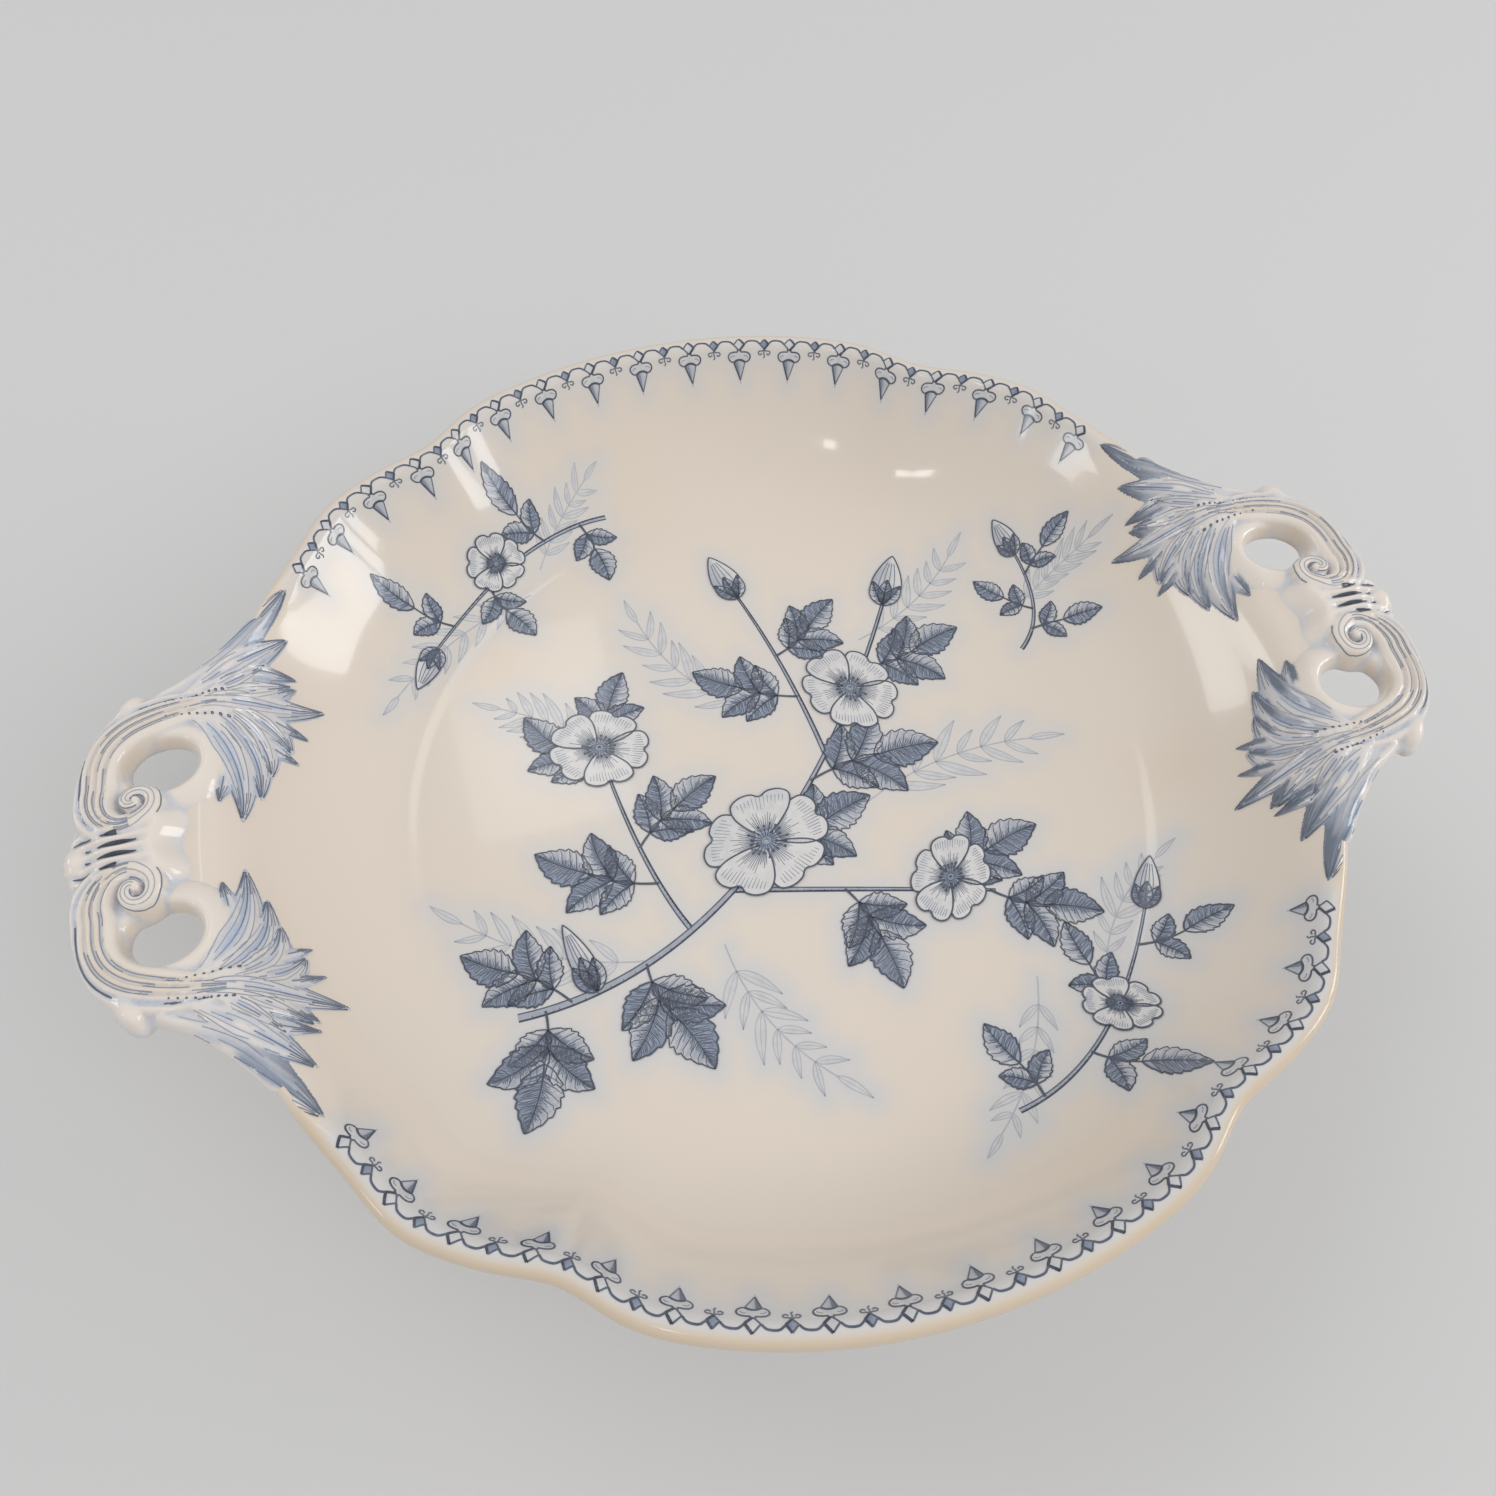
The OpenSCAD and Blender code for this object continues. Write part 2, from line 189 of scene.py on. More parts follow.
def add_piece(name, points, faces, material, colours, replaces=(), smooth=True):
    """A mesh from points in millimetres and arrays of faces, riding on the body."""
    mesh = bpy.data.meshes.new(name)
    corners = np.concatenate([f.ravel() for f in faces]).astype(np.int32)
    sizes = np.concatenate([np.full(len(f), f.shape[1]) for f in faces])
    mesh.vertices.add(len(points))
    mesh.vertices.foreach_set("co", (points / PER_METRE).astype(np.float32).ravel())
    mesh.loops.add(len(corners))
    mesh.loops.foreach_set("vertex_index", corners)
    mesh.polygons.add(len(sizes))
    mesh.polygons.foreach_set("loop_start", np.concatenate([[0], np.cumsum(sizes)[:-1]]).astype(np.int32))
    mesh.polygons.foreach_set("use_smooth", np.full(len(sizes), smooth))
    mesh.update(calc_edges=True)
    if mesh.validate():
        raise RuntimeError(f"{name} has faces that Blender had to mend")
    for label, values in colours.items():
        layer = mesh.attributes.new(label, "FLOAT_COLOR", "POINT")
        layer.data.foreach_set("color", values.astype(np.float32).ravel())
    mesh.materials.append(material)
    piece = bpy.data.objects.new(name, mesh)
    bpy.context.scene.collection.objects.link(piece)
    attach(piece, BODY)
    if replaces:
        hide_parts(*replaces)
    return piece


def ring_faces(rings, n, closed=False):
    """Quads between rings of n points each, outward for rings that run down the outside."""
    i = np.arange(rings if closed else rings - 1)[:, None]
    j = np.arange(n)[None, :]
    k, nxt = (j + 1) % n, (i + 1) % rings
    return np.stack([i * n + j, nxt * n + j, nxt * n + k, i * n + k], axis=-1).reshape(-1, 4)


def surface_net(field, origin, cell):
    """Points and quads of the skin between negative and positive values of a field on a grid."""
    nx, ny, nz = field.shape
    inside = field < 0
    corner = [(a, b, c) for a in (0, 1) for b in (0, 1) for c in (0, 1)]
    count = sum(inside[a:nx - 1 + a, b:ny - 1 + b, c:nz - 1 + c].astype(np.int8) for a, b, c in corner)
    cells = np.argwhere((count > 0) & (count < 8))
    number = np.full((nx - 1, ny - 1, nz - 1), -1, np.int32)
    number[tuple(cells.T)] = np.arange(len(cells))
    value = {c: field[cells[:, 0] + c[0], cells[:, 1] + c[1], cells[:, 2] + c[2]] for c in corner}
    total, hits = np.zeros((len(cells), 3)), np.zeros(len(cells))
    for a in corner:
        for axis in range(3):
            if a[axis]:
                continue
            b = tuple(v + (i == axis) for i, v in enumerate(a))
            cross = (value[a] < 0) != (value[b] < 0)
            t = np.where(cross, value[a] / np.where(cross, value[a] - value[b], 1), 0)
            place = np.tile(np.array(a, float), (len(cells), 1))
            place[:, axis] += t
            total += place * cross[:, None]
            hits += cross
    points = origin + cell * (cells + total / hits[:, None])
    quads = []
    for axis in range(3):
        u, v = (axis + 1) % 3, (axis + 2) % 3
        low = np.take(inside, np.arange(field.shape[axis] - 1), axis)
        high = np.take(inside, np.arange(1, field.shape[axis]), axis)
        edge = np.argwhere(low != high)
        at_u, at_v = edge[:, u], edge[:, v]
        keep = (at_u > 0) & (at_v > 0) & (at_u < field.shape[u] - 1) & (at_v < field.shape[v] - 1)
        edge = edge[keep]
        outward = low[tuple(edge.T)]
        ring = []
        for du, dv in ((1, 1), (0, 1), (0, 0), (1, 0)):
            at = edge.copy()
            at[:, u] -= du
            at[:, v] -= dv
            ring.append(number[tuple(at.T)])
        ring = np.stack(ring, axis=1)
        quads.append(np.where(outward[:, None], ring, ring[:, ::-1]))
    return points, np.vstack(quads)


# Settings

class CompoteBowlSettings(bpy.types.PropertyGroup):
    """Sizes of the bowl that the frame's boxes don't give."""
    depth: FloatProperty(
        name="Depth", description="From the lip to the edge of the flat middle",
        default=0.031, unit="LENGTH")
    floor_radius: FloatProperty(
        name="Floor radius", description="Radius of the flat middle", default=0.091, unit="LENGTH")
    floor_dip: FloatProperty(
        name="Floor dip", description="How far the centre dips", default=0.0015, unit="LENGTH")
    lip_width: FloatProperty(
        name="Lip width", description="Width of the flat lip", default=0.0047, unit="LENGTH")
    edge_radius: FloatProperty(
        name="Edge radius", description="Radius of the rounded rim", default=0.0025, unit="LENGTH")
    wall: FloatProperty(name="Wall", description="Thickness of the wall", default=0.005, unit="LENGTH")
    crease: FloatProperty(
        name="Crease", description="Rounding between lip and wall", default=0.0022, unit="LENGTH")
    roll: FloatProperty(
        name="Roll", description="Further rounding there beside the handles", default=0.0055, unit="LENGTH")
    tongue_reach: FloatProperty(
        name="Tongue reach", description="How far the tongues stand out from the rim",
        default=0.008, unit="LENGTH")
    tongue_width: FloatProperty(
        name="Tongue width", description="Half width of a tongue", default=0.009, unit="LENGTH")
    tongue_root: FloatProperty(
        name="Tongue root", description="Half width of a tongue at the rim", default=0.0155, unit="LENGTH")
    notch_depth: FloatProperty(
        name="Notch depth", description="Depth of the notches in the rim", default=0.0039, unit="LENGTH")
    notch_angle: FloatProperty(
        name="Notch angle", description="Angle of the notches from the handle axis",
        default=math.radians(57), subtype="ANGLE")
    notch_width: FloatProperty(
        name="Notch width", description="Half width of a notch", default=math.radians(5.5), subtype="ANGLE")
    corner_swell: FloatProperty(
        name="Corner swell", description="How far the corner lobes swell", default=0.0021, unit="LENGTH")
    corner_angle: FloatProperty(
        name="Corner angle", description="Angle of the corner lobes from the handle axis",
        default=math.radians(43), subtype="ANGLE")
    corner_width: FloatProperty(
        name="Corner width", description="Half width of a corner lobe",
        default=math.radians(5), subtype="ANGLE")
    segments: IntProperty(name="Segments", description="Facets round the bowl", default=600, min=96)


class CompotePedestalSettings(bpy.types.PropertyGroup):
    """Sizes of the pedestal that the frame's boxes don't give."""
    waist_radius: FloatProperty(
        name="Waist radius", description="Radius of the waist", default=0.025, unit="LENGTH")
    joint_radius: FloatProperty(
        name="Joint radius", description="Radius of the joint of stem and foot",
        default=0.032, unit="LENGTH")
    edge_height: FloatProperty(
        name="Edge height", description="Height of the foot's upright edge", default=0.006, unit="LENGTH")
    ring_width: FloatProperty(
        name="Ring width", description="Width of the ring that rests on the table",
        default=0.009, unit="LENGTH")
    wall: FloatProperty(name="Wall", description="Thickness of the wall", default=0.006, unit="LENGTH")
    bead: FloatProperty(
        name="Bead", description="How far the turned beads stand out", default=0.0016, unit="LENGTH")
    segments: IntProperty(name="Segments", description="Facets round the pedestal", default=192, min=48)


class CompoteHandleSettings(bpy.types.PropertyGroup):
    """Detail and relief of the handles and leaves."""
    cell: FloatProperty(
        name="Cell", description="Size of the grid that the handles are skinned on",
        default=0.000455, unit="LENGTH", precision=6)
    under: FloatProperty(
        name="Under", description="Depth of the handles below the lip", default=0.0040, unit="LENGTH")
    eye: FloatProperty(
        name="Eye", description="Height of the volutes above the lip", default=0.0062, unit="LENGTH")
    groove: FloatProperty(
        name="Groove", description="Depth of the deepest flute", default=0.0011, unit="LENGTH")
    leaf: FloatProperty(
        name="Leaf", description="Relief of the leaves at their tips", default=0.0009, unit="LENGTH")
    leaf_root: FloatProperty(
        name="Leaf root", description="Further relief at their roots", default=0.0021, unit="LENGTH")
    edge: FloatProperty(
        name="Edge", description="Rounding of the handles' edges", default=0.0028, unit="LENGTH")


class CompotePrintSettings(bpy.types.PropertyGroup):
    """The blue print: border and sprays."""
    line: FloatProperty(
        name="Line", description="Width of a drawn line", default=0.00042, unit="LENGTH", precision=5)
    lift: FloatProperty(
        name="Lift", description="How far the ink stands off the glaze",
        default=0.00007, unit="LENGTH", precision=5)
    pendants: IntProperty(
        name="Pendants", description="Pendants on each side of the border", default=18, min=4)
    border_inset: FloatProperty(
        name="Border inset", description="Distance of the chain from the rim", default=0.0046, unit="LENGTH")
    haze: FloatProperty(
        name="Haze", description="Strength of the blue that flowed into the glaze round the ink",
        default=0.5, min=0, max=1)
    haze_reach: FloatProperty(
        name="Haze reach", description="How far that blue flowed", default=0.0042, unit="LENGTH")


class CompoteGlazeSettings(bpy.types.PropertyGroup):
    """Colours of the glaze and the ink."""
    cream: FloatVectorProperty(
        name="Cream", description="Glaze over the body", subtype="COLOR", default=(0.715, 0.635, 0.55))
    # Pearl is the cream made lighter and less yellow for the handles: partly their whiter glaze, partly
    # painted light that brightens their highlights
    pearl: FloatVectorProperty(
        name="Pearl", description="Glaze over the handles", subtype="COLOR", default=(0.745, 0.68, 0.615))
    # Warm also darkens the near lip as painted shade
    warm: FloatVectorProperty(
        name="Warm", description="Glaze over stained and thin places",
        subtype="COLOR", default=(0.62, 0.50, 0.36))
    wash: FloatVectorProperty(
        name="Wash", description="Blue wash on the leaves", subtype="COLOR", default=(0.39, 0.48, 0.64))
    slate: FloatVectorProperty(
        name="Slate", description="Dark wash on the leaves' tips",
        subtype="COLOR", default=(0.15, 0.18, 0.23))
    haze: FloatVectorProperty(
        name="Haze", description="Pale blue round the ink", subtype="COLOR", default=(0.57, 0.585, 0.61))
    petal: FloatVectorProperty(
        name="Petal", description="Glaze left bare inside the print",
        subtype="COLOR", default=(0.66, 0.645, 0.63))
    ink_pale: FloatVectorProperty(
        name="Pale ink", description="Faintest lines of the print",
        subtype="COLOR", default=(0.45, 0.46, 0.49))
    ink_mid: FloatVectorProperty(
        name="Middle ink", description="Shaded parts of the print",
        subtype="COLOR", default=(0.235, 0.275, 0.36))
    ink_dark: FloatVectorProperty(
        name="Dark ink", description="Drawn lines of the print",
        subtype="COLOR", default=(0.030, 0.038, 0.062))


class CompoteStageSettings(bpy.types.PropertyGroup):
    """Camera, floor and lamps."""
    lens: FloatProperty(
        name="Lens", description="Focal length of the camera, in millimetres", default=29.24)
    elevation: FloatProperty(
        name="Elevation", description="Height of the camera above the horizon",
        default=math.radians(60.07), subtype="ANGLE")
    azimuth: FloatProperty(
        name="Azimuth", description="Turn of the camera round the dish",
        default=math.radians(-15.43), subtype="ANGLE")
    roll: FloatProperty(
        name="Roll", description="Tilt of the camera about its view",
        default=math.radians(1.83), subtype="ANGLE")
    distance: FloatProperty(
        name="Distance", description="Camera to the point it looks at", default=0.292, unit="LENGTH")
    aim: FloatVectorProperty(
        name="Aim", description="Point that the camera looks at, from the middle of the lip",
        default=(-0.0078, -0.0042, -0.0013), subtype="XYZ")
    floor: FloatVectorProperty(
        name="Floor", description="Colour of the floor", subtype="COLOR", default=(0.62, 0.62, 0.62))
    sky: FloatProperty(name="Sky", description="Strength of the even light", default=0.60, min=0)


# The bowl's inside

# How far the rim stays inside the frame's box, in millimetres
RIM_SLACK = 0.05
# Angles from the handle axis, in radians, between which the lip's roll grows
ROLL_SPAN = (0.60, 0.48)
# Half the run, in millimetres, that slopes are taken over
BOWL_PROBE = 0.05
HANDLE_PROBE = 0.3


class Dish:
    """The bowl's inside as heights below the lip over the plan, from the settings and the frame."""

    def __init__(self, settings):
        low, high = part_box("bowl")
        self.lip_z = mm(high.z)
        self.seat_z = mm(low.z)
        self.edge_r = mm(settings.edge_radius)
        self.rim_r = mm(high.y) - RIM_SLACK
        self.depth = mm(settings.depth)
        self.floor_r = mm(settings.floor_radius)
        self.dip = mm(settings.floor_dip)
        self.lip_w = mm(settings.lip_width)
        self.wall = mm(settings.wall)
        self.crease = mm(settings.crease)
        self.roll = mm(settings.roll)
        self.tongue = (mm(settings.tongue_reach), mm(settings.tongue_width), mm(settings.tongue_root))
        self.notch = (mm(settings.notch_depth), settings.notch_angle, settings.notch_width)
        self.corner = (mm(settings.corner_swell), settings.corner_angle, settings.corner_width)

    def rim(self, angle):
        """Radius of the rim's outer edge at an angle in radians."""
        q = self.from_axis(angle)
        notch = self.notch[0] * np.exp(-((q - self.notch[1]) / self.notch[2]) ** 2)
        corner = self.corner[0] * np.exp(-((q - self.corner[1]) / self.corner[2]) ** 2)
        return self.rim_r - notch + corner

    def from_axis(self, angle):
        """Angle from the axis through the handles, up to a quarter turn."""
        return np.arccos(np.abs(np.cos(angle)))

    def edge(self, angle):
        """Radius of the bowl's outer edge: the rim, drawn out into a tongue at each handle."""
        reach, width, root = self.tongue
        return self.rim(angle) + reach * smoothstep(root, width, self.rim_r * np.abs(np.sin(angle)))

    def inside(self, r, angle):
        """Height of the inside below the lip, which rolls softly over near the handles."""
        q = (r - self.floor_r) / (self.rim(angle) - self.lip_w - self.floor_r)
        wall = np.where(q > 0, self.depth * q * q, self.dip * ((r / self.floor_r) ** 2 - 1)) - self.depth
        crease = self.crease + self.roll * smoothstep(*ROLL_SPAN, self.from_axis(angle))
        return soft_min(wall, 0.0, crease)

    def under_wall(self, q, angle):
        """Radius and height below the lip of the wall's outside; q is 0 at the floor and 1 at the lip."""
        run = self.rim(angle) - self.lip_w - self.floor_r
        slope = 2 * self.depth * q / run
        k = self.wall / np.sqrt(1 + slope * slope)
        return self.floor_r + run * q + slope * k, self.depth * (q * q - 1) - k

    def drape(self, plan):
        """Points of the inside over plan points, and the normals there."""
        def height(x, y):
            return self.inside(np.hypot(x, y), np.arctan2(y, x))
        return draped(height, plan, BOWL_PROBE, self.lip_z)


def the_dish():
    """The bowl's shape from the scene's settings."""
    return Dish(bpy.context.scene.compote_bowl)


# Materials

# The bare colour of each glaze, and the colour that the green of the Paint lays on it; the handles' lighter
# pearl is partly painted light
GLAZES = {"dish_glaze": ("cream", "haze"), "handle_glaze": ("pearl", "slate")}
GLAZE_FINISH = {"Roughness": 0.13, "IOR": 1.5, "Coat Weight": 0.55, "Coat Roughness": 0.035}
INK_FINISH = {"Roughness": 0.16, "Coat Weight": 0.5, "Coat Roughness": 0.04}
# Tones at which the ink is pale and middling, and how much its mottle changes the tone
PALE_TONE = 0.22
MIDDLE_TONE = 0.5
MOTTLE = 0.22


def new_material(name, finish):
    """A material with a finish, and its shader."""
    material = bpy.data.materials.new(name)
    material.use_nodes = True
    shader = material.node_tree.nodes["Principled BSDF"]
    for key, value in finish.items():
        shader.inputs[key].default_value = value
    return material, shader


def add_node(material, kind, inputs, **options):
    """A node with options; each of its inputs gets a value, or a link from a socket."""
    node = material.node_tree.nodes.new(kind)
    for key, value in options.items():
        setattr(node, key, value)
    for key, value in inputs.items():
        if isinstance(value, bpy.types.NodeSocket):
            material.node_tree.links.new(value, node.inputs[key])
        else:
            node.inputs[key].default_value = value
    return node


def glaze_material(name):
    """Glossy glaze: cream with faint cloudiness, and from the Paint colours blue washes and warm tints, among
    them stains and the painted shade of the near lip.
    """
    glaze = bpy.context.scene.compote_glaze
    bare, second = (getattr(glaze, colour) for colour in GLAZES[name])
    material, shader = new_material(name, GLAZE_FINISH)
    place = add_node(material, "ShaderNodeTexCoord", {}).outputs["Object"]
    paint = add_node(material, "ShaderNodeAttribute", {}, attribute_name=PAINT).outputs["Color"]
    parts = add_node(material, "ShaderNodeSeparateColor", {"Color": paint}).outputs

    def noise(scale, detail):
        inputs = {"Vector": place, "Scale": scale, "Detail": detail}
        return add_node(material, "ShaderNodeTexNoise", inputs).outputs["Fac"]

    def ramp(source, low, high, to_low, to_high):
        inputs = {"Value": source, "From Min": low, "From Max": high, "To Min": to_low, "To Max": to_high}
        return add_node(material, "ShaderNodeMapRange", inputs).outputs["Result"]

    def times(a, b):
        options = {"operation": "MULTIPLY", "use_clamp": True}
        return add_node(material, "ShaderNodeMath", {0: a, 1: b}, **options).outputs["Value"]

    def mix(factor, below, colour):
        inputs = {"Factor": factor, "A": below, "B": (*colour, 1)}
        return add_node(material, "ShaderNodeMix", inputs, data_type="RGBA").outputs["Result"]

    cloud = ramp(noise(scale=14.0, detail=3.0), low=0.35, high=0.75, to_low=0.0, to_high=0.10)
    colour = mix(cloud, (*bare, 1), glaze.warm)
    colour = mix(parts["Blue"], colour, glaze.warm)
    grain = ramp(noise(scale=900.0, detail=2.0), low=0.3, high=0.7, to_low=0.72, to_high=1.12)
    colour = mix(times(parts["Red"], grain), colour, glaze.wash)
    colour = mix(parts["Green"], colour, second)
    height = noise(scale=160.0, detail=1.0)
    bump = add_node(material, "ShaderNodeBump", {"Height": height, "Strength": 0.10, "Distance": 0.0002})
    material.node_tree.links.new(colour, shader.inputs["Base Color"])
    material.node_tree.links.new(bump.outputs["Normal"], shader.inputs["Normal"])
    return material


def ink_material(name):
    """Ink under glaze: pale, middle and dark by the Tone colours, with a slight mottle."""
    glaze = bpy.context.scene.compote_glaze
    material, shader = new_material(name, INK_FINISH)
    tone = add_node(material, "ShaderNodeAttribute", {}, attribute_name=TONE).outputs["Fac"]
    place = add_node(material, "ShaderNodeTexCoord", {}).outputs["Object"]
    mottle = add_node(material, "ShaderNodeTexNoise", {"Vector": place, "Scale": 420.0}).outputs["Fac"]
    inputs = {0: mottle, 1: MOTTLE, 2: -MOTTLE / 2}
    spread = add_node(material, "ShaderNodeMath", inputs, operation="MULTIPLY_ADD").outputs["Value"]
    total = add_node(material, "ShaderNodeMath", {0: tone, 1: spread}, operation="ADD").outputs["Value"]
    colours = add_node(material, "ShaderNodeValToRGB", {"Fac": total})
    stops = colours.color_ramp.elements
    stops[0].color = (*glaze.petal, 1)
    stops[1].color = (*glaze.ink_dark, 1)
    stops.new(PALE_TONE).color = (*glaze.ink_pale, 1)
    stops.new(MIDDLE_TONE).color = (*glaze.ink_mid, 1)
    material.node_tree.links.new(colours.outputs["Color"], shader.inputs["Base Color"])
    return material


def shared_material(name, maker):
    """The named material, made on its first use."""
    return bpy.data.materials.get(name) or maker(name)


def paint_rows(n, wash=0.0, second=0.0, warm=0.0):
    """Paint colours for n points: wash in red, the second wash in green, warmth in blue."""
    rows = np.ones((n, 4))
    for column, values in enumerate((wash, second, warm)):
        rows[:, column] = np.clip(values, 0, 1)
    return rows


# Ink drawn on a surface

# On the ink's map for bakes: its margin, half a face's width, the step from row to row of a stroke, and the
# corners of a face
MAP_MARGIN = 0.03
MAP_HALF = 0.004
MAP_STEP = 0.618034
MAP_CORNERS = np.array([(-1, -1), (1, -1), (1, 1), (-1, 1)])
# Upper face of a stroke and of a patch, and lower face of both, in lifts from their level
STROKE_TOP = 1.5
PATCH_TOP = 0.8
INK_UNDER = -0.4
# A dot's points round it, and the share of its radius at which its ring starts
DOT_POINTS = 9
DOT_CORE = 0.25


class InkSheet:
    """Lines and patches of ink as thin closed strips, draped on a surface; a higher level covers a lower."""

    def __init__(self, drape, lift):
        self.drape = drape
        self.lift = lift
        self.level = 0
        self.points, self.quads, self.tones = [], [], []
        self.count = 0

    def _add(self, points, quads, tones):
        self.points.append(points)
        self.quads.append(quads + self.count)
        self.tones.append(tones)
        self.count += len(points)

    def stroke(self, plan, width, tone):
        """A line along plan points; width and tone may vary along it."""
        n = len(plan)
        at, normal = self.drape(plan)
        across = unit_rows(np.cross(normal, np.gradient(at, axis=0)))
        half = (np.broadcast_to(width, n) / 2)[:, None]
        over = normal * self.lift * (self.level + STROKE_TOP)
        under = normal * self.lift * (self.level + INK_UNDER)
        right, left = at - across * half, at + across * half
        corners = np.stack([right + over, left + over, left + under, right + under], axis=1)
        i = np.arange(n - 1)[:, None] * 4
        k = np.arange(4)[None, :]
        sides = np.stack([i + k, i + (k + 1) % 4, i + 4 + (k + 1) % 4, i + 4 + k], axis=-1).reshape(-1, 4)
        ends = np.array([[3, 2, 1, 0], [4 * n - 4, 4 * n - 3, 4 * n - 2, 4 * n - 1]])
        tones = np.repeat(np.broadcast_to(tone, n), 4)
        self._add(corners.reshape(-1, 3), np.vstack([sides[:, ::-1], ends[:, ::-1]]), tones)

    def patch(self, grid, tones):
        """A shaded patch over a grid of plan points, rows by columns."""
        rows, cols = grid.shape[:2]
        at, normal = self.drape(grid.reshape(-1, 2))
        n = rows * cols
        heights = (self.level + PATCH_TOP, self.level + INK_UNDER)
        points = np.vstack([at + normal * self.lift * height for height in heights])
        r, c = np.meshgrid(np.arange(rows - 1), np.arange(cols - 1), indexing="ij")
        a = (r * cols + c).ravel()
        top = np.stack([a, a + 1, a + cols + 1, a + cols], axis=1)
        rim = np.concatenate([
            np.arange(cols), np.arange(1, rows) * cols + cols - 1,
            (rows - 1) * cols + np.arange(cols - 2, -1, -1), np.arange(rows - 2, 0, -1) * cols,
        ])
        ahead = np.roll(rim, -1)
        wall = np.stack([rim, ahead, ahead + n, rim + n], axis=1)
        lead = np.cross(at[1] - at[0], at[cols] - at[0])
        quads = np.vstack([top, top[:, ::-1] + n, wall[:, ::-1]])
        if np.dot(lead, normal[0]) < 0:
            quads = quads[:, ::-1]
        self._add(points, quads, np.tile(tones.ravel(), 2))

    def dot(self, centre, radius, tone):
        """A round spot."""
        a = np.linspace(0, 2 * np.pi, DOT_POINTS)
        rim = np.stack([np.cos(a), np.sin(a)], axis=1) * radius
        grid = np.stack([centre + rim * k for k in (DOT_CORE, 1.0)])
        self.patch(grid, np.full(grid.shape[:2], tone))

    def build(self, name):
        """The strips as one piece, with a map for bakes: tone along it, and each stroke on a row."""
        tones = np.clip(np.concatenate(self.tones), 0, 1)
        colours = np.stack([tones, tones, tones, np.ones(len(tones))], axis=1)
        quads = np.vstack(self.quads)
        piece = add_piece(
            name, np.vstack(self.points), [quads], shared_material("print_ink", ink_material),
            colours={TONE: colours}, smooth=False,
        )
        rows = np.repeat(np.arange(len(self.quads)) * MAP_STEP % 1, [len(q) for q in self.quads])
        places = np.stack([tones[quads], np.broadcast_to(rows[:, None], quads.shape)], axis=-1)
        places = MAP_MARGIN + (1 - 2 * MAP_MARGIN) * places + MAP_HALF * MAP_CORNERS
        layer = piece.data.uv_layers.new(name=BAKE_MAP)
        layer.uv.foreach_set("vector", places.astype(np.float32).ravel())


# Bowl and pedestal

# Rings of points on the bowl's skin, from the middle over the rim and back underneath
FLOOR_RINGS = 46
WALL_RINGS = 25
LIP_RINGS = 15
EDGE_RINGS = 15
UNDER_RINGS = 22
SEAT_RINGS = 20
# Radius of the innermost ring inside and underneath, in millimetres
MIDDLE_R = 1.5
SEAT_MIDDLE_R = 2.0
# Where the underside leaves the rim, as a share of the way up the wall
UNDER_TOP = 0.9


def build_bowl():
    """The lobed bowl, inside and outside, as one closed skin."""
    dish = the_dish()
    n = bpy.context.scene.compote_bowl.segments
    angle = np.arange(n) * 2 * np.pi / n
    flat = dish.edge(angle) - dish.edge_r
    lip = dish.rim(angle) - dish.lip_w
    start = lip - 0.6 * (dish.lip_w - dish.edge_r)
    inside = [np.full(n, r) for r in np.linspace(MIDDLE_R, dish.floor_r, FLOOR_RINGS)]
    inside += [dish.floor_r + (lip - dish.floor_r) * q for q in np.linspace(0, 1, WALL_RINGS)[1:-2]]
    inside += [start + (flat - start) * q for q in np.linspace(0, 1, LIP_RINGS)]
    rings = [(r, dish.inside(r, angle)) for r in inside]
    for t in np.linspace(math.pi / 2, -math.pi / 2, EDGE_RINGS)[1:]:
        rings.append((flat + dish.edge_r * math.cos(t), np.full(n, dish.edge_r * (math.sin(t) - 1))))
    rings += [dish.under_wall(q, angle) for q in np.linspace(UNDER_TOP, 0, UNDER_RINGS)]
    seat = dish.seat_z - dish.lip_z
    floor_under = -dish.depth - dish.wall
    collar = mm(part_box("stem")[1].x)
    for k in np.linspace(0, 1, SEAT_RINGS)[1:]:
        r = dish.floor_r + (collar - dish.floor_r) * k
        z = floor_under + (seat - floor_under) * smoothstep(0, 1, k)
        rings.append((np.full(n, r), np.full(n, z)))
    rings.append((np.full(n, SEAT_MIDDLE_R), np.full(n, seat)))
    points = [np.stack([r * np.cos(angle), r * np.sin(angle), dish.lip_z + z], axis=1) for r, z in rings]
    count = len(rings) * n
    j = np.arange(n)
    caps = np.vstack([
        np.stack([np.full(n, count), j, (j + 1) % n], axis=1),
        np.stack([np.full(n, count + 1), count - n + (j + 1) % n, count - n + j], axis=1),
    ])
    middle_z = dish.lip_z + float(dish.inside(np.zeros(1), np.zeros(1))[0])
    points = np.vstack(points + [[[0, 0, middle_z], [0, 0, dish.seat_z]]])
    add_piece(
        "bowl_glazed", points, [ring_faces(len(rings), n), caps],
        shared_material("dish_glaze", glaze_material),
        replaces=["bowl", "left_tongue", "right_tongue"], colours={PAINT: paint_rows(len(points))},
    )


# The foot's upright edge as insets and heights, from the table and from its top, in millimetres
EDGE_LOW = ((1.4, 0), (0.3, 0.5), (0, 1.6))
EDGE_HIGH = ((0, -1.9), (0.5, -0.7), (1.8, 0), (2.6, 0.1), (3.4, 0.7))
# The collar under the bowl: how far out from the stem, and how high above the seat
COLLAR = ((0.8, -1.2), (1.1, -0.2), (0.7, 0.9))
# Where the upper bead sits, as a share of the way from the waist to the seat
UPPER_BEAD = 0.62
# Room that is left free for the beads and the collar on the stem
BEAD_ROOM = 2.6
JOINT_ROOM = 3.4
COLLAR_ROOM = 2.4
# Warmth of the glaze at the table, and the height at which it ends
FOOT_WARM = 0.35
FOOT_WARM_TOP = 9.0


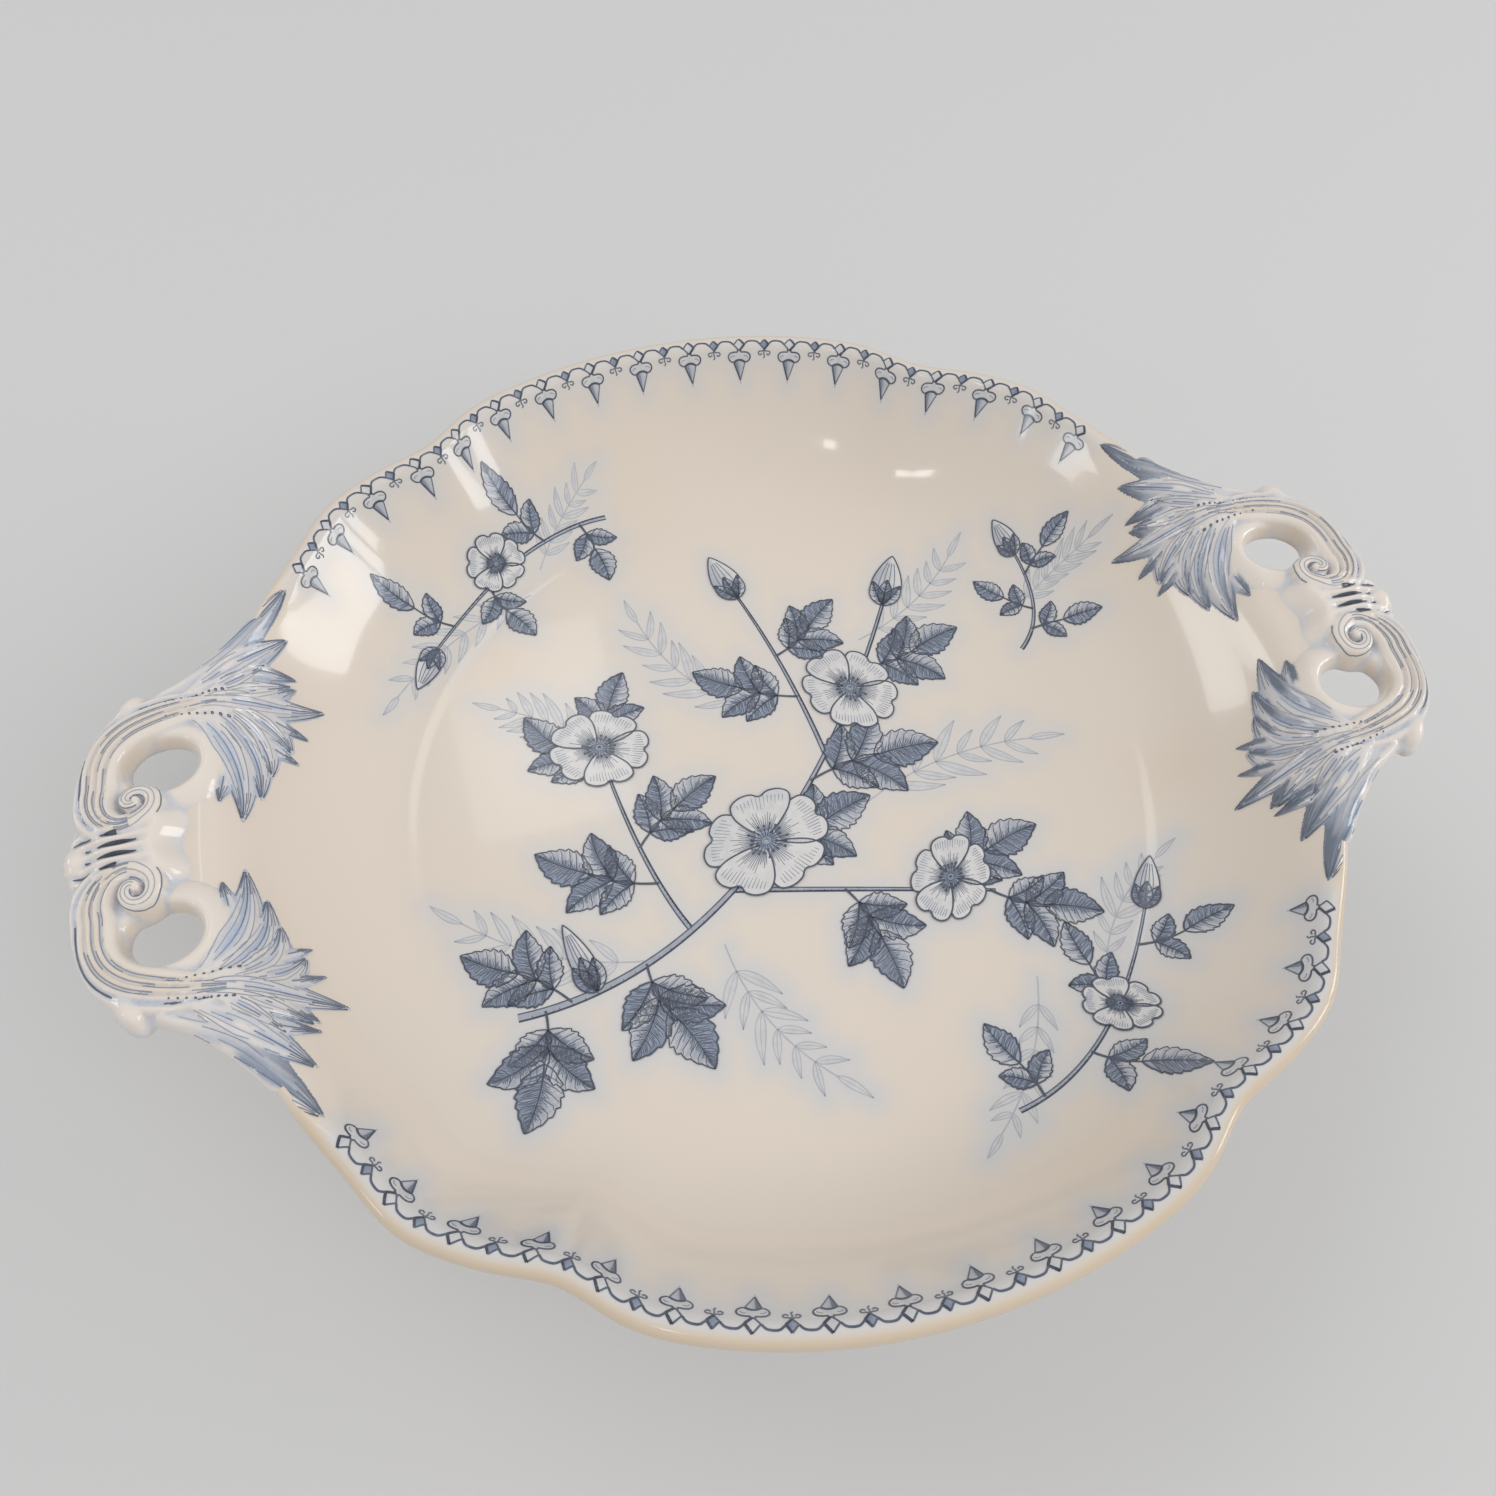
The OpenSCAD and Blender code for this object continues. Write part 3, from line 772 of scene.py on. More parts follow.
def build_pedestal():
    """The turned stem and foot as one hollow skin."""
    settings = bpy.context.scene.compote_pedestal
    dish = the_dish()
    foot_r, foot_h = mm(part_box("foot")[1].x), mm(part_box("foot")[1].z)
    collar_r = mm(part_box("stem")[1].x)
    waist_r, joint_r = mm(settings.waist_radius), mm(settings.joint_radius)
    edge_h, ring_w = mm(settings.edge_height), mm(settings.ring_width)
    wall, bead = mm(settings.wall), mm(settings.bead)
    waist_z = (foot_h + dish.seat_z) / 2

    def stem_r(z):
        below = joint_r + (waist_r - joint_r) * (1 - ((waist_z - z) / (waist_z - foot_h)) ** 2)
        above = waist_r + (collar_r - waist_r) * ((z - waist_z) / (dish.seat_z - waist_z)) ** 2
        return np.where(z < waist_z, below, above)

    def foot_at(t):
        return joint_r + (foot_r - joint_r) * (1 - t) ** 2, edge_h + (foot_h - edge_h) * t

    def stem_run(low, high, count, inset=0.0):
        return [(float(stem_r(z)) - inset, z) for z in np.linspace(low, high, count)]

    def turned_bead(r, z):
        turns = np.linspace(-1.5, 1.5, 7)
        return [(r + bead * math.cos(a) * 0.9 + 0.5, z + bead * 1.1 * math.sin(a)) for a in turns]

    upper_z = waist_z + UPPER_BEAD * (dish.seat_z - waist_z)
    outer = [(foot_r - ring_w * 0.6, 0)]
    outer += [(foot_r - inset, z) for inset, z in EDGE_LOW]
    outer += [(foot_r - inset, edge_h + z) for inset, z in EDGE_HIGH]
    outer += [foot_at(t) for t in np.linspace(0.07, 0.93, 14)]
    outer += turned_bead(joint_r, foot_h)
    outer += stem_run(foot_h + JOINT_ROOM, upper_z - BEAD_ROOM, 14)
    outer += turned_bead(float(stem_r(upper_z)), upper_z)
    outer += stem_run(upper_z + BEAD_ROOM, dish.seat_z - COLLAR_ROOM, 8)
    outer += [(collar_r + out, dish.seat_z + z) for out, z in COLLAR]
    inner = stem_run(dish.seat_z + 0.4, foot_h, 16, wall)
    for t in np.linspace(0.94, 0.04, 14):
        r, z = foot_at(t)
        inner.append((r - wall - (ring_w - wall) * (1 - t), z - edge_h * (1 - t)))
    profile = np.vstack([spline(outer, 0.8), spline(inner, 1.6)])
    profile[:, 1] = np.maximum(profile[:, 1], 0)
    n = settings.segments
    angle = np.arange(n) * 2 * np.pi / n
    r, z = profile[:, :1], np.broadcast_to(profile[:, 1:], (len(profile), n))
    points = np.stack([r * np.cos(angle), r * np.sin(angle), z], axis=-1).reshape(-1, 3)
    faces = ring_faces(len(profile), n, closed=True)[:, ::-1]
    warm = FOOT_WARM * smoothstep(FOOT_WARM_TOP, 0.0, points[:, 2])
    add_piece(
        "pedestal_glazed", points, [faces], shared_material("dish_glaze", glaze_material),
        replaces=["stem", "foot"], colours={PAINT: paint_rows(len(points), warm=warm)},
    )


# Handles and leaves, on the right side: x outwards, y across, both in plan millimetres

EYE = np.array([147.6, 11.4])
HOLE = np.array([142.9, 21.6])
HOLE_SIZE = np.array([7.7, 6.3])
TIP_BEAD = np.array([161.0, 0.0])
TIP_BEAD_R = 3.7
# The bud at the outer corner: middle, half length, half width, height and the direction that it points in
BUD = np.array([149.9, 37.4])
BUD_SIZE = (6.0, 3.4, 4.1)
BUD_TURN = math.radians(120)
# How steeply the volutes fall away from the clasp
VOLUTE_TILT = 0.18
LEAF_ROOT = (139.6, 36.2)
# The grid that a handle is worked out on: x, y of one half, and height about the lip
SPAN_X = (104.0, 166.4)
SPAN_Y = (0.0, 71.5)
SPAN_Z = (-27.0, 7.2)
OUTLINE = [
    (164.95, 0), (164.5, 2.6), (163.5, 4.8), (163.0, 7.5), (162.8, 11), (162.3, 16), (161.6, 21),
    (160.0, 27), (157.2, 32.5), (153.2, 36.8), (150.2, 39.0), (147.0, 40.6), (143.0, 42.6), (138.6, 44.8),
    (131.5, 50.8), (126.2, 56.4), (122.6, 60.6), (120.0, 61.9), (116.0, 66.0), (112.9, 69.4),
]
# Turn about the eye in degrees, distance from it, half width and drop below the eye's height
COIL = [
    (-540, 0.3, 0.6, 0.3), (-450, 1.1, 1.05, 0.4), (-360, 2.0, 1.25, 0.6), (-270, 2.9, 1.45, 0.9),
    (-180, 3.9, 1.75, 1.1), (-110, 5.0, 2.2, 1.3), (-60, 6.9, 3.1, 1.5), (-10, 9.2, 4.4, 1.6),
    (35, 11.2, 5.2, 1.6),
]
# The strap after the coil: x, y, half width and drop below the eye's height
STRAP = [
    (156.8, 23, 5.2, 1.6), (154.5, 28.4, 5.3, 1.6), (150, 32.4, 5.3, 1.7), (144, 34.8, 5.0, 2.0),
    (138.5, 36.0, 4.4, 2.6), (133, 36.6, 3.4, 3.4), (128, 37.0, 2.2, 4.2),
]
# Half widths of the strap over which its flutes grow, and distances from the eye over which its tilt ends
FLUTED_WIDTHS = (2.0, 4.2)
TILT_SPAN = (9.0, 5.0)
# Radius about the eye that the finger hole leaves whole
EYE_KEEP = 5.9
# The ring of clay round a finger hole: height, distance from the hole, and its fall inside and outside that
RING_RISE = 2.2
RING_OFF = 2.2
RING_FALLS = (0.3, 0.105)
# Flutes across the strap: place from the outer edge at -1 to the hole at 1, depth as a share, width
FLUTES = [(-0.60, 1.0, 0.12), (-0.20, 0.8, 0.11), (0.14, 0.8, 0.11), (0.48, 0.8, 0.11)]
# Half widths of the clasp at places along x
CLASP_WIDTHS = ((137, 141.4, 145, 151, 156, 160, 163, 165), (13.0, 10.8, 9.3, 8.0, 8.4, 9.2, 7.8, 4.6))
# The clasp's rise out of the tongue, fall to its outer end and sink, and the number and depth of its folds
CLASP_RISE = 6.0
CLASP_FALL = 3.1
CLASP_SINK = 0.8
FOLDS = 6
FOLD_DEPTH = 1.05
# Dashes on the clasp: share of its half width, start and end along x, weight
CLASP_DASHES = [
    (1 / 6, 147.2, 155.8, 3.1), (0.5, 148.2, 155.2, 3.1), (0.83, 149.4, 154.6, 2.6),
    (1 / 6, 157.5, 161.5, 1.5), (0.5, 157.6, 162.0, 1.5), (0.83, 157.5, 161.5, 1.3),
]
# Lobes of a leaf: start, pull, tip, half width, layer, blue wash, and where its teeth leave it,
# with the sign for the side
LOBES = [
    ((137.6, 34.4), (124.6, 28.4), (127.2, 6.2), 5.0, 0.0, 0.85, (0.58,)),
    ((134.0, 34.9), (121.6, 30.8), (123.8, 13.2), 4.0, 0.1, 0.80, ()),
    ((130.8, 35.3), (120.6, 31.6), (121.6, 19.8), 3.8, 0.2, 0.70, (-0.6,)),
    ((127.6, 35.8), (119.6, 33.8), (117.2, 27.6), 3.6, 0.3, 0.60, ()),
    ((139.6, 36.2), (124.0, 36.4), (109.4, 40.4), 4.6, 0.4, 0.55, (-0.58, 0.5)),
    ((129.6, 38.0), (122.0, 40.0), (115.2, 45.0), 3.4, 0.3, 0.40, ()),
    ((132.6, 38.2), (125.6, 41.8), (119.2, 48.4), 3.2, 0.25, 0.45, ()),
    ((137.6, 39.2), (126.6, 45.4), (114.2, 56.4), 4.8, 0.2, 0.80, (0.5,)),
    ((143.4, 40.8), (127.4, 52.2), (112.4, 68.6), 6.6, 0.1, 1.0, ()),
]
LOBE_POINTS = 34
# How far from its root a leaf stands higher than at its tips
LEAF_REACH = 34.0
# A lobe's ridges as a share of its half width, and that half width at most, and its vein's depth and width
RIDGE = 0.085
RIDGE_WIDEST = 4.0
VEIN = 0.2
VEIN_WIDTH = 0.4
# A tooth's length as a share of what is left of its lobe, its spread and half width as shares of the lobe's
TOOTH_REACH = 0.66
TOOTH_SPREAD = 1.45
TOOTH_WIDTH = 0.62
# How steeply lobes, straps, clasp, bud and tip bead fall away outside their edges
LOBE_FALL = 1.7
STRAP_FALL = 2.6
CLASP_FALL_OFF = 2.0
BUD_FALL = 6.0
BEAD_FALL = 2.5
# The web of clay between the strap's end and the rim: start and end along y, start at the rim, and height
WEB_START = (29, 34)
WEB_END = (58, 50)
WEB_RIM = (-7, -1)
WEB_RISE = 2.2
# How far leaves and handles reach into the bowl below them
LEAF_BED = 0.6
BURIED = 0.8
# How far in from the rim the top covers the lip, and its least height there and inside, and a leaf's
LIP_COVER = 1.5
LEAST_TOPS = (-0.4, -60.0)
LEAST_LEAF = -99.0
# How far in from the rim the handle's underside is open to the air
OPEN_FROM = 0.6
# Rounding of the lower edge in the open and on the bowl
UNDER_ROUNDS = (2.0, 0.15)
# The square of the steepest slope that the rounding of edges follows
STEEPEST = 9.0
# Passes that blur the heights, to find the hollows that glaze pools in
BLUR_PASSES = 14
WASH_MOST = 0.92
# Rows of pearls beside the leaf's midrib, from the bowl outwards: start, pull, finish, count
PEARLS = [((127.6, 33.2), (134.0, 34.2), (141.0, 34.0), 9), ((128.4, 40.2), (134.0, 39.4), (141.0, 38.0), 9)]
PEARL_SIZES = (0.80, 0.42)
PEARL_RISE = 0.8
# How strongly the pale wash is laid on each side, and on its far and near half the dark wash and the wash of
# the lobe along the rim, which is the last of LOBES; the right's stronger dark wash, most of all on its near
# half, is partly real paint and partly painted shade
WASH_AND_SHADE_SHARES = {"left": (1.05, (0.4, 0.4), (0.5, 0.9)), "right": (1.0, (1.7, 3.6), (0.75, 0.0))}
Lobe = namedtuple("Lobe", "path start turn layer wash")


def lobe_path(start, pull, tip, width):
    """Rows x, y, half width of a pointed leaf lobe from its root to its tip."""
    t = np.linspace(0, 1, LOBE_POINTS)
    taper = np.minimum(1.75 * (1 - t) ** 0.85, 1.0)
    swell = (0.3 + 0.7 * smoothstep(0.0, 0.5, t)) * taper
    return np.column_stack([bend(start, pull, tip, t), np.maximum(width * swell, 0.12)])


def tooth_path(lobe, mark):
    """Rows of a tooth that leaves a lobe at a share along it, to the left for a positive mark."""
    i = int(abs(mark) * (len(lobe) - 1))
    ahead = unit(lobe[i + 1, :2] - lobe[i - 1, :2])
    aside = math.copysign(1, mark) * quarter_turn(ahead)
    reach = TOOTH_REACH * np.linalg.norm(np.diff(lobe[i:, :2], axis=0), axis=1).sum()
    width = lobe[i, 2]
    start = lobe[i - 4, :2]
    pull = start + ahead * reach * 0.6 + aside * width * 0.4
    tip = lobe[i, :2] + ahead * reach + aside * width * TOOTH_SPREAD
    return lobe_path(start, pull, tip, TOOTH_WIDTH * width)


def leaf_lobes():
    """All lobes and teeth of a leaf, with a tooth's start on its lobe and side, the layer and the wash."""
    lobes = []
    for start, pull, tip, width, layer, wash, teeth in LOBES:
        path = lobe_path(start, pull, tip, width)
        lobes.append(Lobe(path, 0.0, 0, layer, wash))
        lobes += [Lobe(tooth_path(path, mark), abs(mark), np.sign(mark), layer, wash) for mark in teeth]
    return lobes


def scroll_path():
    """Rows x, y, half width, drop of a scroll from the volute's eye round the hole and into the leaf."""
    coil = np.array(COIL, float)
    turn = np.arange(coil[0, 0], coil[-1, 0] + 1, 9.0)
    r, w, drop = (np.interp(turn, coil[:, 0], coil[:, k]) for k in (1, 2, 3))
    a = np.radians(turn)
    rows = np.column_stack([EYE[0] + r * np.cos(a), EYE[1] + r * np.sin(a), w, drop])
    return np.vstack([rows[:-1], spline(np.vstack([rows[-1], STRAP]), 0.9)])


class HandleForm:
    """Heights, edges and washes of a handle and its leaves over a plan grid, for both halves by symmetry."""

    def __init__(self):
        self.dish = the_dish()
        settings = bpy.context.scene.compote_handle
        self.cell = mm(settings.cell)
        self.under = mm(settings.under)
        self.eye, self.groove = mm(settings.eye), mm(settings.groove)
        self.leaf, self.leaf_root, self.edge = mm(settings.leaf), mm(settings.leaf_root), mm(settings.edge)
        self.x = np.arange(*SPAN_X, self.cell)
        self.y = np.arange(*SPAN_Y, self.cell)
        self.lobes = leaf_lobes()
        self._fill()

    def leaf_rise(self, x, y):
        """Height of the leaf's crown over what it lies on, falling from its root to its tips."""
        away = np.clip(np.hypot(x - LEAF_ROOT[0], y - LEAF_ROOT[1]) / LEAF_REACH, 0, 1)
        return self.leaf + self.leaf_root * (1 - away) ** 1.5

    def lobe_height(self, lobe, t, v, w, rest, rise):
        """Height of a lobe with two ridges beside its vein, falling away outside its edge."""
        if lobe.start:
            rise = rise * (0.4 + 0.6 * smoothstep(0.1, 0.5, t))
        t = lobe.start + (1 - lobe.start) * t
        inner = np.minimum(np.abs(v), 1)
        grown = smoothstep(0.05, 0.3, t)
        ridges = RIDGE * np.minimum(w, RIDGE_WIDEST) * np.cos(2 * np.pi * inner) * grown
        vein = VEIN * np.exp(-(v * w / VEIN_WIDTH) ** 2) * grown
        crown = (rise + lobe.layer * (1 - t)) * (1 - 0.6 * inner ** 2)
        return rest + crown - ridges - vein - np.maximum(np.abs(v) - 1, 0) * w * LOBE_FALL

    def _strap(self, X, Y):
        """Height of the fluted scroll, with places across it and half widths."""
        path = scroll_path()
        share, v, w = along_path(path, X, Y)
        drop = np.interp(share * (len(path) - 1), np.arange(len(path)), path[:, 3])
        flute = sum(depth * self.groove * np.exp(-((v - at) / size) ** 2) for at, depth, size in FLUTES)
        dome = 1 - np.sqrt(np.clip(1 - 0.9 * np.clip(v, -1, 1) ** 2, 0, 1))
        dome *= np.minimum(0.42 * w + 0.3, 2.2)
        past = np.maximum(np.abs(v) - 1, 0) * w * STRAP_FALL
        tilt = VOLUTE_TILT * (Y - EYE[1]) * smoothstep(*TILT_SPAN, np.hypot(X - EYE[0], Y - EYE[1]))
        return self.rest + self.eye - drop - dome - tilt - smoothstep(*FLUTED_WIDTHS, w) * flute - past, v, w

    def _clasp(self, X, Y):
        """Height of the folded clasp between the volutes, which swells out of the tongue in two lumps."""
        half = np.interp(X, *CLASP_WIDTHS)
        c = Y / half
        folds = 0.5 + 0.5 * np.cos(FOLDS * np.pi * c)
        reach = smoothstep(143.5, 148.0, X) * (1 - 0.45 * smoothstep(157.0, 163.0, X))
        lift = smoothstep(137.0, 145.0, X + 1.6 * np.sin(np.pi * np.clip(c, 0, 1)) ** 2)
        clasp = CLASP_RISE * lift - CLASP_SINK - CLASP_FALL * smoothstep(153.5, 162, X)
        clasp = clasp - FOLD_DEPTH * reach * (1 - folds)
        return clasp - 0.6 * c ** 2 * lift - np.maximum(c - 1, 0) * half * CLASP_FALL_OFF

    def _bud(self, X, Y):
        """Height of the teardrop bud at the outer corner, and its distance from its edge."""
        along = (X - BUD[0]) * math.cos(BUD_TURN) + (Y - BUD[1]) * math.sin(BUD_TURN)
        across = (Y - BUD[1]) * math.cos(BUD_TURN) - (X - BUD[0]) * math.sin(BUD_TURN)
        length, width, height = BUD_SIZE
        d = np.hypot(along / length, across / width)
        lean = 0.2 * along / length
        dome = height * np.sqrt(np.maximum(1 - d ** 2, 0))
        return dome - BUD_FALL * np.maximum(d - 1, 0) + lean, (d - 1) * width

    def _tip_bead(self, X, Y):
        """Height of the bead at the clasp's outer end."""
        d = np.hypot(X - TIP_BEAD[0], Y - TIP_BEAD[1])
        dome = np.sqrt(np.maximum(TIP_BEAD_R ** 2 - d ** 2, 0))
        return dome - BEAD_FALL * np.maximum(d - TIP_BEAD_R, 0) - 0.3

    def _hole_distance(self, X, Y):
        """Distance to the finger hole, negative inside it."""
        hole = (np.hypot((X - HOLE[0]) / HOLE_SIZE[0], (Y - HOLE[1]) / HOLE_SIZE[1]) - 1) * HOLE_SIZE.min()
        return soft_max(hole, EYE_KEEP - np.hypot(X - EYE[0], Y - EYE[1]), 1.2)

    def _leaves(self, X, Y, top):
        """The top with a leaf on it, and where each point lies on the lobe that shows there."""
        self.leaf_at, self.leaf_side = np.zeros(X.shape), np.full(X.shape, 9.0)
        self.leaf_wash, self.leaf_across, self.on_rim = (np.zeros(X.shape) for _ in range(3))
        highest = np.full(X.shape, LEAST_LEAF)
        rise = self.leaf_rise(X, Y)
        for lobe in self.lobes:
            t, side, width = along_path(lobe.path, X, Y)
            height = self.lobe_height(lobe, t, side, width, self.rest, rise)
            over = height > highest
            self.leaf_at = np.where(over, lobe.start + (1 - lobe.start) * t, self.leaf_at)
            self.leaf_side = np.where(over, side, self.leaf_side)
            self.leaf_wash = np.where(over, lobe.wash, self.leaf_wash)
            self.leaf_across = np.where(over, side * width, self.leaf_across)
            self.on_rim = np.where(over, lobe is self.lobes[-1], self.on_rim)
            highest = np.maximum(highest, height)
            top = soft_max(top, height, 0.3)
        self.leaf_on = smoothstep(-0.25, 0.1, highest - top)
        return top

    def _fill(self):
        """Works out all the fields over the grid."""
        X, Y = np.meshgrid(self.x, self.y, indexing="ij")
        r, a = np.hypot(X, Y), np.arctan2(Y, X)
        rim = self.dish.rim(a)
        self.rest = self.dish.inside(r, a)
        self.strap, v, w = self._strap(X, Y)
        self.clasp = self.rest + self._clasp(X, Y)
        self.hole = self._hole_distance(X, Y)
        past = self.hole - RING_OFF
        ring = self.rest + RING_RISE - np.where(past < 0, *RING_FALLS) * past ** 2
        bud, bud_edge = self._bud(X, Y)
        self.outer = soft_min(self._outline_distance(X, Y), bud_edge, 1.0)

        top = soft_max(soft_max(self.strap, ring, 0.8), self.clasp, 0.8)
        top = soft_max(soft_max(top, self._tip_bead(X, Y), 1.0), bud, 0.5)
        top = np.maximum(top, np.where(r > rim - LIP_COVER, *LEAST_TOPS))
        webbed = smoothstep(*WEB_START, Y) * smoothstep(*WEB_END, Y) * smoothstep(*WEB_RIM, r - rim)
        top = soft_max(top, self.rest - LEAF_BED + WEB_RISE * webbed, 0.6)
        top = self._leaves(X, Y, top)
        for x, y, size in pearl_places():
            top = top + PEARL_RISE * size * np.exp(-((X - x) ** 2 + (Y - y) ** 2) / size ** 2)
        self.top = top

        self.open_air = r > rim - OPEN_FROM
        bottom = np.where(self.open_air, -self.under, self.rest - BURIED)
        self.bottom = np.where(r > rim - self.dish.lip_w, np.minimum(bottom, -1.2), bottom)
        self.bounds = np.maximum(soft_min(self.outer, r - (rim - 1.2), 0.6), -self.hole)
        slope = sum(g ** 2 for g in np.gradient(top, self.cell))
        self.steep = np.sqrt(1 + np.minimum(slope, STEEPEST))
        inset = np.clip(-self.bounds, 0, self.edge)
        self.crown = top - self.steep * (math.sqrt(self.edge) - np.sqrt(inset)) ** 2
        self._washes(v, w)

    def _outline_distance(self, X, Y):
        """Signed distance to the handle's outline, negative inside."""
        line = spline(OUTLINE, 1.0)
        rows = np.column_stack([line, np.ones(len(line))])
        return -along_path(rows, X, Y)[1]

    def _washes(self, v, w):
        """Blue that pooled in grooves and was laid on the lobes in streaks, with painted highlights along the
        ridges and painted shade on one half of each lobe, and warmer glaze round the holes and in the strap's
        grooves.
        """
        blur = self.top.copy()
        for _ in range(BLUR_PASSES):
            p = np.pad(blur, 1, mode="edge")
            blur = (p[:-2, 1:-1] + p[2:, 1:-1] + p[1:-1, :-2] + p[1:-1, 2:] + p[1:-1, 1:-1]) / 5
        hollow = np.clip(blur - self.top, 0, 1)
        side = np.minimum(np.abs(self.leaf_side), 1)
        # Real streaks of wash along each lobe, and less wash on its two ridges: a painted highlight along
        # them
        streak_and_highlight = 0.72 + 0.24 * np.cos(2 * np.pi * side) + 0.14 * np.sin(4.2 * self.leaf_across)
        # Wash, dark and rim wash are stronger on the left half of each lobe, seen from its root, than on its
        # right: painted shade of one side
        half = np.sign(self.leaf_side) * smoothstep(0.0, 0.3, side)
        body, tip = smoothstep(0.08, 0.5, self.leaf_at), smoothstep(0.58, 0.96, self.leaf_at)
        inside = self.leaf_on * smoothstep(-0.3, -1.2, self.outer)
        laid = (0.28 + 0.95 * self.leaf_wash * body) * streak_and_highlight * (0.85 + 0.15 * half) * inside
        self.deep = 0.85 * (tip + 0.3 * self.leaf_wash * body) * (0.55 + 0.4 * half) * streak_and_highlight * inside
        along_rim = self.on_rim * smoothstep(0.2, 0.6, self.leaf_at)
        self.rim_wash = along_rim * (0.8 + 0.2 * half) * streak_and_highlight * inside
        wash = laid + np.clip(hollow * 1.3, 0, 0.5)
        strap = smoothstep(2.2, 4.0, w) * (np.abs(v) < 1.0)
        wash += strap * 0.3 * np.exp(-((v - FLUTES[0][0]) / 0.2) ** 2)
        self.wash = np.clip(wash, 0, WASH_MOST)
        # Warmer glaze round the finger holes and in the strap's grooves
        grooves = sum(np.exp(-((v - at) / (1.3 * size)) ** 2) for at, _, size in FLUTES[1:])
        self.warm = 0.5 * smoothstep(1.6, 0.0, self.hole) + 0.55 * strap * grooves

    def sample(self, values, x, y):
        """Values of a plan field at points, by straight lines between grid points."""
        i = np.clip((x - self.x[0]) / self.cell, 0, len(self.x) - 1.001)
        j = np.clip((np.abs(y) - self.y[0]) / self.cell, 0, len(self.y) - 1.001)
        i0, j0 = i.astype(int), j.astype(int)
        fi, fj = i - i0, j - j0
        return (values[i0, j0] * (1 - fi) * (1 - fj) + values[i0 + 1, j0] * fi * (1 - fj)
                + values[i0, j0 + 1] * (1 - fi) * fj + values[i0 + 1, j0 + 1] * fi * fj)

    def at(self, values, plan):
        """Values of a plan field at rows of points."""
        return self.sample(values, plan[:, 0], plan[:, 1])

    def skin(self):
        """Points and quads of the handle on the right side, both halves."""
        fields = (self.top, self.bottom, self.bounds, self.steep, self.open_air.astype(float))
        whole = (np.concatenate([f[:, :0:-1], f], axis=1)[:, :, None].astype(np.float32) for f in fields)
        top, bottom, bounds, steep, air = whole
        z = np.arange(*SPAN_Z, self.cell, dtype=np.float32)
        field = soft_max((z - top) / steep, bounds, np.float32(self.edge))
        field = soft_max(field, bottom - z, np.where(air > 0.5, *np.float32(UNDER_ROUNDS)))
        return surface_net(field, np.array([self.x[0], -self.y[-1], z[0]]), self.cell)

    def drape(self, plan):
        """Points of the right handle's crown over plan points, and normals; y may have either sign."""
        def height(x, y):
            return self.sample(self.crown, x, y)
        return draped(height, plan, HANDLE_PROBE, self.dish.lip_z)


def pearl_places():
    """Plan place and size of each pearl on one half."""
    places = []
    for start, pull, finish, n in PEARLS:
        rows = bend(start, pull, finish, np.linspace(0, 1, n))
        places += [(x, y, size) for (x, y), size in zip(rows, np.linspace(*PEARL_SIZES, n))]
    return places


def handle_nodes(side):
    """The CAD nodes that one handle stands for."""
    return [f"{side}_{n}" for n in SIDE_NODES] + [f"{side}_{half}_{n}" for half in HALVES for n in HALF_NODES]


# Sides of a lobe's edge lines, of its long streaks and of those at its tip, in half widths
EDGE_LINES = (-0.95, 0.95)
LONG_STREAKS = (-0.74, -0.5, -0.24, 0.24, 0.5, 0.74)
TIP_STREAKS = (-0.65, -0.35, 0.35, 0.65)
# Lines in a flute, for the first one and the others: shifts across the strap, weight and tone
BOLD_FLUTE = ((0.0,), 1.2, 0.84)
FINE_FLUTE = ((-0.06, 0.07), 0.65, 0.48)
# Lines round the coil: side in half widths, weight and tone
COIL_LINES = ((1.0, 0.8, 0.6), (-1.0, 0.8, 0.6), (0.35, 0.5, 0.34), (-0.35, 0.5, 0.34))
# Half widths of the scroll: above the first the flutes have lines, below the second the coil
FLUTE_LINES_FROM = 2.6
COIL_LINES_TO = 3.4
# How far inside the handle's edge lines end, and how far what they lie on may be covered
LINE_INSET = 0.3
LOBE_SLACK = 0.2
STRAP_SLACK = 0.35
CLASP_SLACK = 0.6
DASH_COLUMNS = 7
DASH_LEVEL = 2
# Tone of the dot of painted shadow beside each pearl
PEARL_SHADOW_TONE = 0.86
HANDLE_SEED = 11


